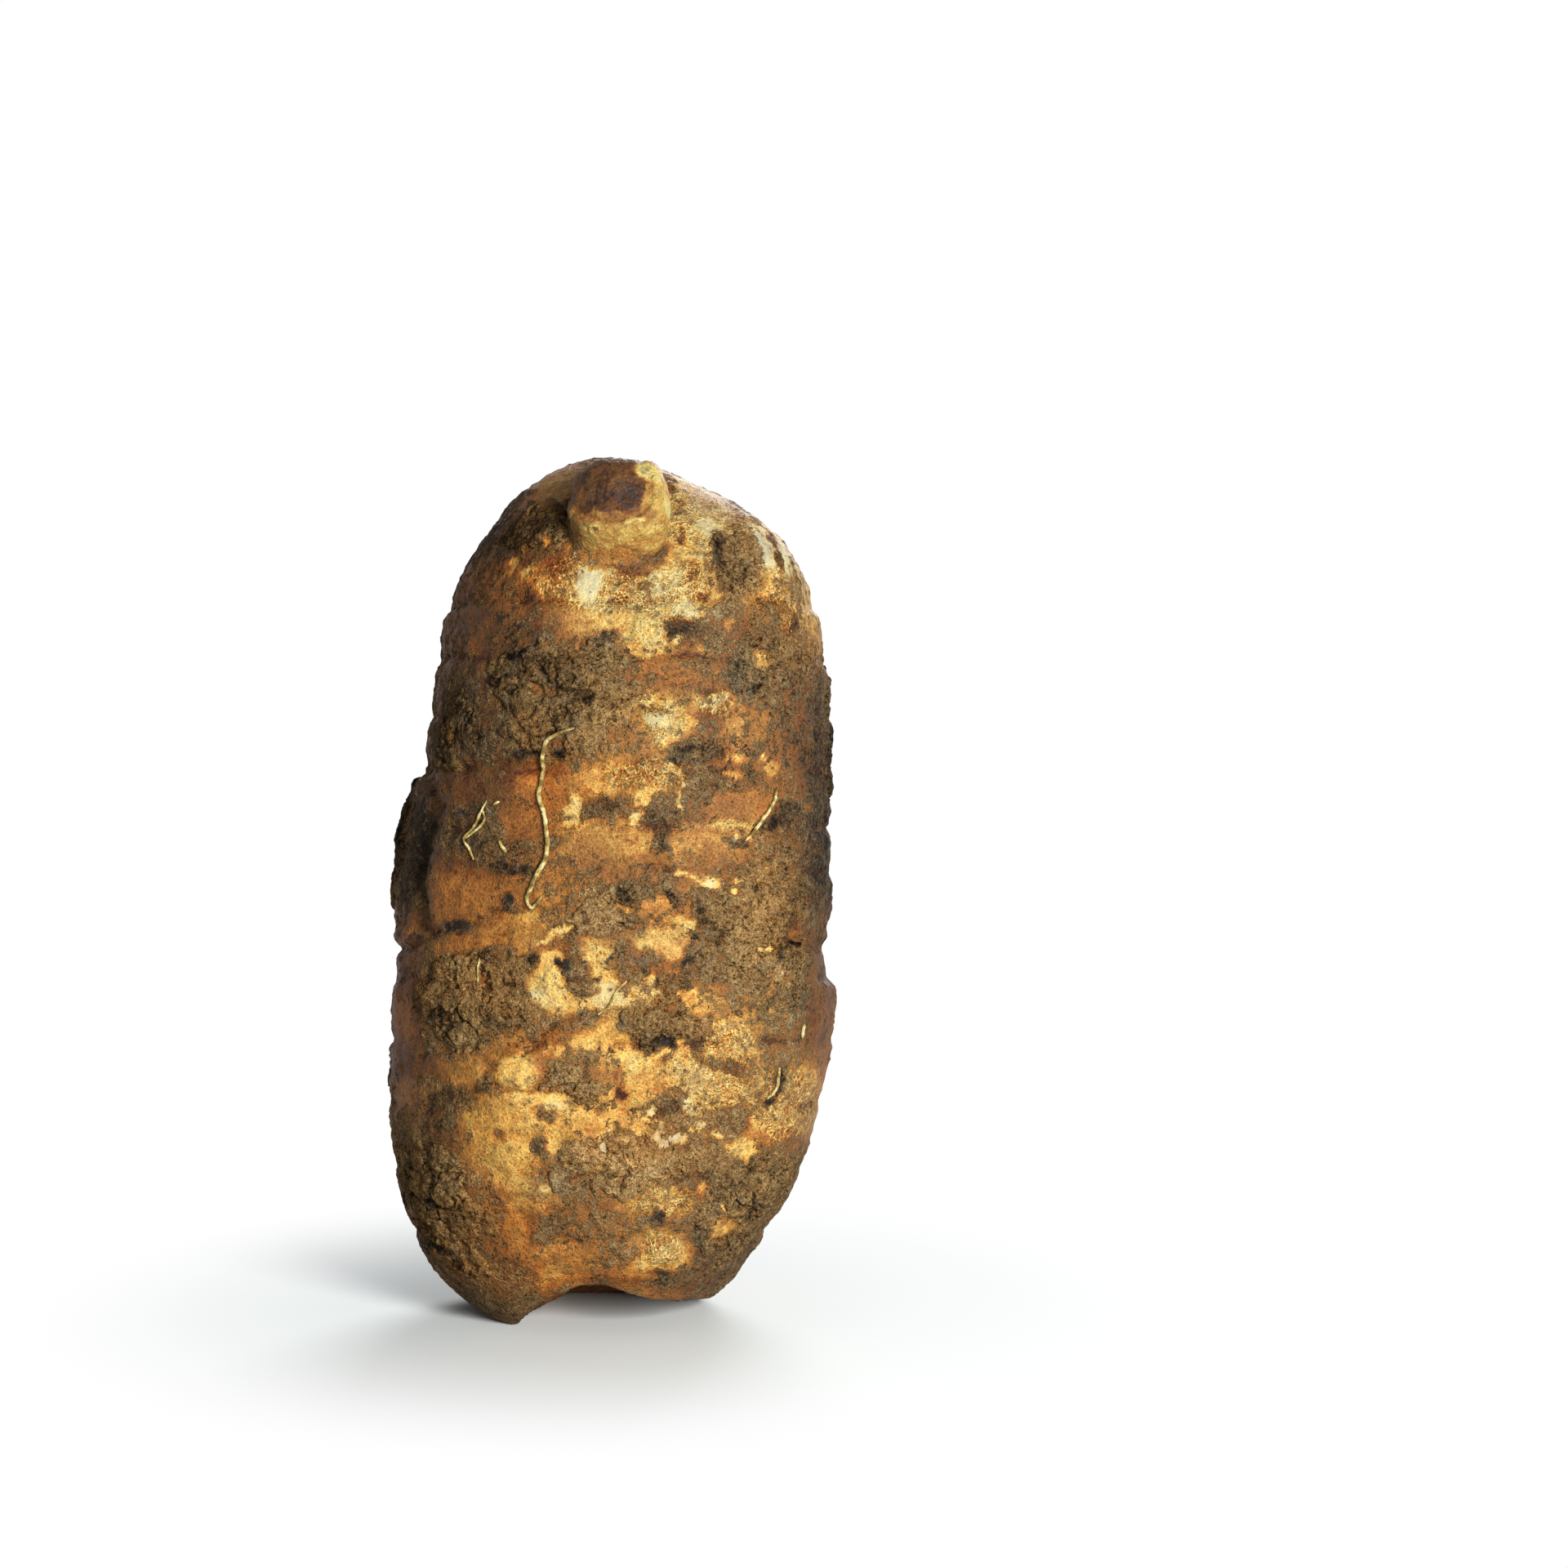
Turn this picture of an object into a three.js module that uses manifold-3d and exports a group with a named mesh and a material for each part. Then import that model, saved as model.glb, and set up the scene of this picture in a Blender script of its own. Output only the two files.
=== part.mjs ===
// A fresh gastrodia tuber with the soil and rootlets that cling to it, in millimetres, +Z up.
// The tuber stands on the rim of the hollow scar at its base. Its front, with the bud, faces -Y.
// The tuber is one grown piece. Each soil crust and each rootlet is a piece of its own that lies
// on it with a small gap.
import * as THREE from "three";
import { mergeVertices } from "three/addons/utils/BufferGeometryUtils.js";
import Module from "manifold-3d";

// Driving dimensions
const HEIGHT = 120; // from the surface it stands on to the top of the crown
const SUNK = 6; // how far the round lower end would reach below the surface, if it weren't flat
const SQUARENESS = 2.2; // exponent of the cross-section: 2 is an ellipse, more is squarer
const BODY_DETAIL = 16; // subdivision of the icosahedron that the body is shaped from
const RING_DEPTH = 0.45;
const RING_SPREAD = 1.9; // half-width of the shallow groove at a ring
const RING_TILT = 0.12; // the rings run lower towards the back, as a slope against depth
const FRONT = -25; // the depth at which the rings have the heights below
const RING_WAVER = 0.9; // how far a ring wanders up and down on its way round
const GAP = 0.48; // between the skin and what lies on it
const RAY_START = 100; // from the axis, outside everything

// Heights, at the front, of the rings where scale leaves sat
const RINGS = [14.5, 23.8, 32.9, 41.8, 50.5, 57.8, 65.6, 71.5, 79.3, 87.2, 94.9, 102.4];

// Half-widths of the body at every 15 degrees of polar angle from its lower end, without its poles
const SIDES = {
  left: [10.9, 21.9, 29, 31.4, 30.9, 28.6, 26.4, 24.1, 21.2, 15.4, 8.5],
  right: [8.4, 15, 22, 27.9, 31.1, 30.5, 30.4, 30.4, 28.1, 20.8, 8.6],
  front: [9.5, 17, 21.5, 24.5, 25.8, 25.6, 25, 23.4, 20.2, 14.2, 6.8],
  back: [9, 15.5, 20, 23, 24.4, 24.8, 24.6, 23.4, 20.8, 15.5, 8],
};

// Slow lumps all over: how far out, waves around, height of one turn of the pattern, and phase
const LUMPS = [
  { out: 0.45, waves: 3, rise: 16, phase: 1.2 },
  { out: 0.35, waves: 5, rise: -11, phase: 0.4 },
];
const CALM_RADIUS = 12; // lumps and rings fade out closer to the axis than this

// Mounds (+) and dents (-): angle from the front towards the right in degrees, height above the
// base, half-size around and up, and how far it stands out
const MOUNDS = [
  { angle: -104, z: 62.5, around: 11, up: 13.5, out: 3.1 }, // side lobe
  { angle: -72, z: 54.5, around: 2.6, up: 2.2, out: 0.9 }, // knob under the side lobe
  { angle: 68, z: 106.5, around: 5, up: 6, out: 1.5 }, // sleeping bud on the shoulder
  { angle: -32, z: 35, around: 4.6, up: 3.6, out: 0.9 }, // sleeping bud on the belly
  { angle: 90, z: 51, around: 10, up: 3.6, out: -1.6 }, // notch in the right flank
  { angle: -20, z: 71, around: 12, up: 7, out: -0.7 }, // flat stretch above the waist
  { angle: 150, z: 84, around: 12, up: 10, out: 1.2 },
  { angle: 195, z: 45, around: 14, up: 9, out: -1.4 },
  { angle: 132, z: 26, around: 10, up: 7, out: 1.1 },
];

const BUD = { x: 1.4, y: -12, z: 111.6, radius: 7, flat: 0.93, length: 9.4, lean: 62, turn: 4 };
const HOLLOW = { x: -2.3, y: -11.5, z: -0.7, across: 10.6, deep: 14, high: 4.7 };

// The right foot stands further back: in front of it the underside rises along a slope, which
// starts on a line through this point that runs back and to the right
const RISE = { x: -7, y: -16, slope: 12 };

// Soil crusts: angle from the front, height, half-size around and up, thickness and tilt in degrees
const CRUSTS = {
  soil_crown_left: { angle: -39, z: 111, around: 5.5, up: 4.5, thick: 0.8, tilt: 20 },
  soil_crown_right: { angle: 57, z: 104.4, around: 8, up: 6.6, thick: 1.1, tilt: -30 },
  soil_chest_left: { angle: -13, z: 89.4, around: 11.5, up: 9, thick: 1.2, tilt: -12 },
  soil_chest_right: { angle: 58, z: 92.6, around: 9.5, up: 4.8, thick: 0.9, tilt: 6 },
  soil_chest_edge: { angle: -56, z: 83.3, around: 5.5, up: 7.5, thick: 0.9, tilt: 0 },
  soil_lobe: { angle: -97, z: 66, around: 6.5, up: 9, thick: 0.9, tilt: 0 },
  soil_waist_centre: { angle: 5, z: 60.3, around: 8, up: 3.5, thick: 1, tilt: 4 },
  soil_waist_right: { angle: 48, z: 57, around: 10, up: 10, thick: 1.3, tilt: -10 },
  soil_waist_left: { angle: -42, z: 47.9, around: 11, up: 7.6, thick: 1.2, tilt: 12 },
  soil_belly_right: { angle: 19, z: 45.9, around: 7.5, up: 5, thick: 1.1, tilt: -28 },
  soil_belly_centre: { angle: -10, z: 35.4, around: 4.4, up: 4.2, thick: 1, tilt: -20 },
  soil_hip_centre: { angle: 9, z: 25.3, around: 11, up: 5, thick: 0.9, tilt: 8 },
  soil_hip_left: { angle: -57, z: 18.1, around: 11.5, up: 8.6, thick: 1.2, tilt: -22 },
  soil_hip_right: { angle: 53, z: 18.5, around: 9.5, up: 8.2, thick: 1.4, tilt: 38 },
  soil_flank_right: { angle: 104, z: 78, around: 11, up: 12, thick: 1.1, tilt: 8 },
  soil_flank_left: { angle: -112, z: 34, around: 11, up: 9, thick: 1.1, tilt: -8 },
  soil_back_upper: { angle: 168, z: 94, around: 12, up: 8.5, thick: 1.2, tilt: 15 },
  soil_back_waist: { angle: 205, z: 62, around: 13, up: 9, thick: 1.2, tilt: -10 },
  soil_back_right: { angle: 136, z: 44, around: 11, up: 8.5, thick: 1.1, tilt: 14 },
  soil_back_lower: { angle: 176, z: 21, around: 13, up: 8.5, thick: 1.3, tilt: 6 },
};
const CRUST_EDGE = 0.3; // thickness at a crust's edge
const CRUST_RINGS = 4;
const CRUST_SPOKES = 16;

// Rootlets and a scrap of straw: radius, and strands of points (x, z) as seen from the front
const ROOTLETS = {
  rootlet_long: {
    radius: 0.3,
    strands: [
      [
        [-3.7, 84.7],
        [-5.7, 84],
        [-7.3, 82.8],
        [-7.9, 80.8],
        [-7.8, 78.7],
        [-8.4, 75.4],
        [-7.8, 73],
        [-7.4, 70],
        [-7.7, 66.7],
        [-9.1, 64.3],
        [-9.9, 62.2],
        [-10, 61],
        [-9.4, 60.4],
        [-8.7, 61],
        [-8.2, 61.8],
      ],
    ],
  },
  rootlet_tangle_left: {
    radius: 0.24,
    strands: [
      [
        [-15.7, 74.5],
        [-16.6, 72.8],
        [-17.5, 70.8],
        [-18.9, 69.1],
        [-18.1, 67.9],
        [-17.5, 66.5],
      ],
      [
        [-16.3, 73.4],
        [-16, 71.7],
        [-17, 70.5],
        [-18.9, 69.1],
      ],
    ],
  },
  rootlet_right: {
    radius: 0.25,
    strands: [
      [
        [23.6, 75.9],
        [23.1, 73.8],
        [21.3, 71.3],
        [19.4, 69.1],
      ],
    ],
  },
  rootlet_centre: {
    radius: 0.2,
    strands: [
      [
        [3.4, 50.7],
        [2, 49.2],
        [0.9, 47.2],
        [-0.5, 46.1],
      ],
    ],
  },
  rootlet_lower_right: {
    radius: 0.24,
    strands: [
      [
        [23.9, 37.5],
        [23.6, 34.9],
        [22.4, 33.4],
      ],
    ],
  },
  rootlet_waist_left: {
    radius: 0.18,
    strands: [
      [
        [-16.7, 53.2],
        [-17, 51.5],
        [-16.9, 49.9],
      ],
    ],
  },
  straw_left: {
    radius: 0.3,
    strands: [
      [
        [-14, 69.2],
        [-13.1, 67.7],
      ],
    ],
  },
  leaf_scrap: {
    radius: 0.2,
    strands: [
      [
        [-14.9, 74],
        [-13.9, 74.3],
      ],
    ],
  },
  straw_right: {
    radius: 0.3,
    strands: [
      [
        [27.3, 43.2],
        [27.1, 41.3],
      ],
    ],
  },
};
const ROOTLET_SIDES = 6;
const ROOTLET_STEP = 1.1;

const wasm = await Module();
wasm.setup();

const radians = THREE.MathUtils.degToRad;

function solidOf(geometry) {
  const bare = geometry.clone();
  bare.deleteAttribute("normal");
  bare.deleteAttribute("uv");
  const merged = mergeVertices(bare, 1e-3);
  return new wasm.Manifold(
    new wasm.Mesh({
      numProp: 3,
      vertProperties: merged.attributes.position.array,
      triVerts: new Uint32Array(merged.index.array),
    }),
  );
}

function geometryOf(solid) {
  const mesh = solid.getMesh();
  const geometry = new THREE.BufferGeometry();
  geometry.setAttribute("position", new THREE.BufferAttribute(mesh.vertProperties, 3));
  geometry.setIndex(new THREE.BufferAttribute(mesh.triVerts, 1));
  geometry.computeVertexNormals();
  return geometry;
}

// A smooth curve through one side's half-widths, divided by the sine so that the ends close round
function fullnessCurve(halfWidths) {
  const fullness = halfWidths.map((w, i) => w / Math.sin(radians(15 * (i + 1))));
  const points = [fullness[0], ...fullness, fullness.at(-1)];
  return new THREE.SplineCurve(points.map((f, i) => new THREE.Vector2(i, f)));
}

const fullness = Object.fromEntries(
  Object.entries(SIDES).map(([side, halfWidths]) => [side, fullnessCurve(halfWidths)]),
);

// How far the mounds, dents, rings and slow lumps move the surface outwards
function relief(angle, z, radius, y) {
  let out = 0;
  for (const mound of MOUNDS) {
    const turn = Math.atan2(
      Math.sin(angle - radians(mound.angle)),
      Math.cos(angle - radians(mound.angle)),
    );
    const across = (turn * radius) / mound.around;
    const up = (z - mound.z) / mound.up;
    out += mound.out * Math.exp(-((across * across + up * up) ** 1.6));
  }
  const level = z + RING_TILT * (y - FRONT) + RING_WAVER * Math.sin(2 * angle);
  const fromRing = Math.min(...RINGS.map((ring) => Math.abs(level - ring)));
  out -= RING_DEPTH * Math.exp(-((fromRing / RING_SPREAD) ** 2));
  for (const lump of LUMPS)
    out += lump.out * Math.sin(lump.waves * angle + z / lump.rise + lump.phase);
  return out * Math.min(1, radius / CALM_RADIUS);
}

// The body's surface in a direction of the unit sphere
function bodyPoint(direction) {
  const polar = Math.acos(THREE.MathUtils.clamp(-direction.z, -1, 1));
  const flat = Math.hypot(direction.x, direction.y);
  const z = (HEIGHT + SUNK) * (0.5 - 0.5 * Math.cos(polar)) - SUNK;
  if (flat < 1e-6) return new THREE.Vector3(0, 0, z);
  const side = direction.x < 0 ? "left" : "right";
  const face = direction.y < 0 ? "front" : "back";
  const at = polar / Math.PI;
  const widthHere = fullness[side].getPoint(at).y * Math.sin(polar);
  const depthHere = fullness[face].getPoint(at).y * Math.sin(polar);
  const power = 2 / SQUARENESS;
  const x = Math.sign(direction.x) * widthHere * (Math.abs(direction.x) / flat) ** power;
  const y = Math.sign(direction.y) * depthHere * (Math.abs(direction.y) / flat) ** power;
  const radius = Math.hypot(x, y);
  const grown = (radius + relief(Math.atan2(x, -y), z, radius, y)) / radius;
  return new THREE.Vector3(x * grown, y * grown, z);
}

function bodySolid() {
  const geometry = new THREE.IcosahedronGeometry(1, BODY_DETAIL);
  const position = geometry.attributes.position;
  const vertex = new THREE.Vector3();
  for (let i = 0; i < position.count; i++) {
    const moved = bodyPoint(vertex.fromBufferAttribute(position, i).normalize());
    position.setXYZ(i, moved.x, moved.y, moved.z);
  }
  return solidOf(geometry);
}

// The bud that next year's stem would grow from: a squat knob with a domed end, wider than tall
function budSolid() {
  const { radius, length } = BUD;
  const outline = new THREE.SplineCurve([
    new THREE.Vector2(radius * 0.85, -6),
    new THREE.Vector2(radius * 0.94, 0),
    new THREE.Vector2(radius, length * 0.4),
    new THREE.Vector2(radius * 0.95, length * 0.66),
    new THREE.Vector2(radius * 0.72, length * 0.87),
    new THREE.Vector2(radius * 0.36, length * 0.97),
    new THREE.Vector2(0, length),
  ]);
  const profile = outline.getPoints(12);
  profile[profile.length - 1].x = 0;
  profile.unshift(new THREE.Vector2(0, -6));
  const geometry = new THREE.LatheGeometry(profile, 28);
  geometry.rotateX(Math.PI / 2); // the lathe's axis along +Z
  geometry.scale(1, BUD.flat, 1);
  geometry.rotateX(radians(BUD.lean)); // and leaning over towards the front
  geometry.rotateZ(radians(BUD.turn));
  geometry.translate(BUD.x, BUD.y, BUD.z);
  return solidOf(geometry);
}

// The scar at the base where the mother tuber let go: a shallow hollow that opens to the front
function hollowSolid() {
  const geometry = new THREE.SphereGeometry(1, 24, 14);
  geometry.scale(HOLLOW.across, HOLLOW.deep, HOLLOW.high);
  geometry.translate(HOLLOW.x, HOLLOW.y, HOLLOW.z);
  return solidOf(geometry);
}

function floorSolid() {
  const geometry = new THREE.BoxGeometry(2 * RAY_START, 2 * RAY_START, 40);
  geometry.translate(0, 0, -20);
  return solidOf(geometry);
}

function riseSolid() {
  const geometry = new THREE.BoxGeometry(2 * RAY_START, 2 * RAY_START, 40);
  geometry.translate(RAY_START, 0, -20);
  geometry.rotateY(radians(-RISE.slope));
  geometry.rotateZ(radians(-45));
  geometry.translate(RISE.x, RISE.y, 0);
  return solidOf(geometry);
}

const material = (color, roughness) =>
  new THREE.MeshStandardMaterial({ color, roughness, metalness: 0 });
const skin = material(0xb98a4e, 0.65);
const soil = material(0x5d4a30, 0.95);
const root = material(0xc0a860, 0.7);

function named(name, geometry, finish) {
  const mesh = new THREE.Mesh(geometry, finish);
  mesh.name = name;
  return mesh;
}

const tuberSolid = bodySolid()
  .add(budSolid())
  .subtract(hollowSolid())
  .subtract(floorSolid())
  .subtract(riseSolid());
const tuber = named("tuber", geometryOf(tuberSolid), skin);

const ray = new THREE.Raycaster();

// The nearest point of the pieces on a line, with the smooth normal there
function touch(pieces, origin, direction) {
  ray.set(origin, direction);
  const [hit] = ray.intersectObjects(pieces, false);
  if (!hit) throw new Error("a ray at height " + origin.z + " met nothing");
  return { point: hit.point, normal: hit.normal };
}

// A soil crust: a round patch in polar steps, with a wavy edge, that follows the tuber's surface
function crustGeometry({ angle, z, around, up, thick, tilt }) {
  const middle = radians(angle);
  const axisPoint = new THREE.Vector3(0, 0, z);
  const outwards = new THREE.Vector3(Math.sin(middle), -Math.cos(middle), 0);
  const start = axisPoint.clone().addScaledVector(outwards, RAY_START);
  const radius = touch([tuber], start, outwards.clone().negate()).point.distanceTo(axisPoint);
  const positions = [];
  const place = (share, turn, lift) => {
    const wave = 1 + 0.12 * Math.sin(3 * turn + angle) + 0.09 * Math.sin(5 * turn + z);
    const a = share * around * wave * Math.cos(turn);
    const b = share * up * wave * Math.sin(turn);
    const tilted = radians(tilt);
    const sideways = a * Math.cos(tilted) - b * Math.sin(tilted);
    const height = z + a * Math.sin(tilted) + b * Math.cos(tilted);
    const here = middle + sideways / radius;
    const outward = new THREE.Vector3(Math.sin(here), -Math.cos(here), 0);
    const from = new THREE.Vector3(0, 0, height).addScaledVector(outward, RAY_START);
    const { point, normal } = touch([tuber], from, outward.negate());
    point.addScaledVector(normal, GAP + lift);
    positions.push(point.x, point.y, point.z);
  };
  const thickness = (share) => CRUST_EDGE + (thick - CRUST_EDGE) * Math.sqrt(1 - share * share);
  for (const outer of [true, false]) {
    place(0, 0, outer ? thick : 0);
    for (let r = 1; r <= CRUST_RINGS; r++)
      for (let s = 0; s < CRUST_SPOKES; s++) {
        const share = r / CRUST_RINGS;
        place(share, (2 * Math.PI * s) / CRUST_SPOKES, outer ? thickness(share) : 0);
      }
  }
  const inner = 1 + CRUST_RINGS * CRUST_SPOKES;
  const ring = (r, s) => 1 + (r - 1) * CRUST_SPOKES + (s % CRUST_SPOKES);
  const faces = [];
  for (let s = 0; s < CRUST_SPOKES; s++) {
    faces.push([0, ring(1, s), ring(1, s + 1)]);
    faces.push([inner, inner + ring(1, s + 1), inner + ring(1, s)]);
    for (let r = 1; r < CRUST_RINGS; r++) {
      const [a, b, c, d] = [ring(r, s), ring(r + 1, s), ring(r + 1, s + 1), ring(r, s + 1)];
      faces.push([a, b, c], [a, c, d]);
      faces.push([inner + a, inner + c, inner + b], [inner + a, inner + d, inner + c]);
    }
    const [e, f] = [ring(CRUST_RINGS, s), ring(CRUST_RINGS, s + 1)];
    faces.push([e, inner + e, inner + f], [e, inner + f, f]);
  }
  const geometry = new THREE.BufferGeometry();
  geometry.setAttribute("position", new THREE.Float32BufferAttribute(positions, 3));
  geometry.setIndex(faces.flat());
  geometry.computeVertexNormals();
  return geometry;
}

// One strand of a rootlet, laid on whatever is there as seen from the front
function strandSolid(points, radius, pieces) {
  const line = new THREE.SplineCurve(points.map(([x, z]) => new THREE.Vector2(x, z)));
  const steps = Math.max(3, Math.ceil(line.getLength() / ROOTLET_STEP));
  const spots = line.getSpacedPoints(steps);
  const towardsBack = new THREE.Vector3(0, 1, 0);
  const depths = spots.map(
    ({ x, y: z }) => touch(pieces, new THREE.Vector3(x, -RAY_START, z), towardsBack).point.y,
  );
  const laid = spots.map(({ x, y: z }, i) => {
    const nearest = Math.min(...depths.slice(Math.max(0, i - 1), i + 2));
    return new THREE.Vector3(x, nearest - GAP - radius, z);
  });
  const section = new THREE.Shape(
    new THREE.EllipseCurve(0, 0, radius, radius).getPoints(ROOTLET_SIDES).slice(0, -1),
  );
  return solidOf(
    new THREE.ExtrudeGeometry(section, {
      extrudePath: new THREE.CatmullRomCurve3(laid),
      steps,
    }),
  );
}

function rootletGeometry({ radius, strands }, pieces) {
  const solids = strands.map((points) => strandSolid(points, radius, pieces));
  return geometryOf(solids.reduce((all, strand) => all.add(strand)));
}

const crusts = Object.entries(CRUSTS).map(([name, crust]) =>
  named(name, crustGeometry(crust), soil),
);
const ground = [tuber, ...crusts];
for (const piece of ground) piece.updateMatrixWorld();
const rootlets = Object.entries(ROOTLETS).map(([name, rootlet]) =>
  named(name, rootletGeometry(rootlet, ground), root),
);

// The pieces, moved so that the origin is under the middle of the whole
const pieces = new THREE.Group();
pieces.add(tuber, ...crusts, ...rootlets);
const middle = new THREE.Box3().setFromObject(pieces).getCenter(new THREE.Vector3());
pieces.position.set(-middle.x, -middle.y, 0);

const gastrodiaTuber = new THREE.Group();
gastrodiaTuber.add(pieces);
export default gastrodiaTuber;
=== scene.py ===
import math

import bpy
import numpy as np
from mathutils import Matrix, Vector, noise
from mathutils.bvhtree import BVHTree


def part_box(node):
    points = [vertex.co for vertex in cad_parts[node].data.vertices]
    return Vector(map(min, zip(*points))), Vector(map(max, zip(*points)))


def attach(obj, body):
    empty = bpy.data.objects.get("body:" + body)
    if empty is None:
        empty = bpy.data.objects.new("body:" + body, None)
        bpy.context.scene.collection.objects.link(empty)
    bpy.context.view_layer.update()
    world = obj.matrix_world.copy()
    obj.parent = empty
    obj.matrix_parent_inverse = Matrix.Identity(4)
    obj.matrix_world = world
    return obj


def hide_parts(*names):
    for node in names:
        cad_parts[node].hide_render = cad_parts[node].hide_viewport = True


# A fresh gastrodia tuber with the soil and rootlets that cling to it.
# Shapes are worked out in millimetres in the frame's own axes: +Z up, the front faces -Y.
# Places in the tables are x and z as seen from the front, on the plane through the tuber's axis.

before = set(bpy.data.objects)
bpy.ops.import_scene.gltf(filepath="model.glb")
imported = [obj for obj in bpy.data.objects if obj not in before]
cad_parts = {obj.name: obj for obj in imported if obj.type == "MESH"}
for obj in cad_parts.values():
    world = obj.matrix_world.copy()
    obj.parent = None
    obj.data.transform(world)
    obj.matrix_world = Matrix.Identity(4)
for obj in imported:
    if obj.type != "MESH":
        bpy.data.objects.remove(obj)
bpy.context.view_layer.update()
MM = 0.001
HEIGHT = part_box("tuber")[1][2] / MM

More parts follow.
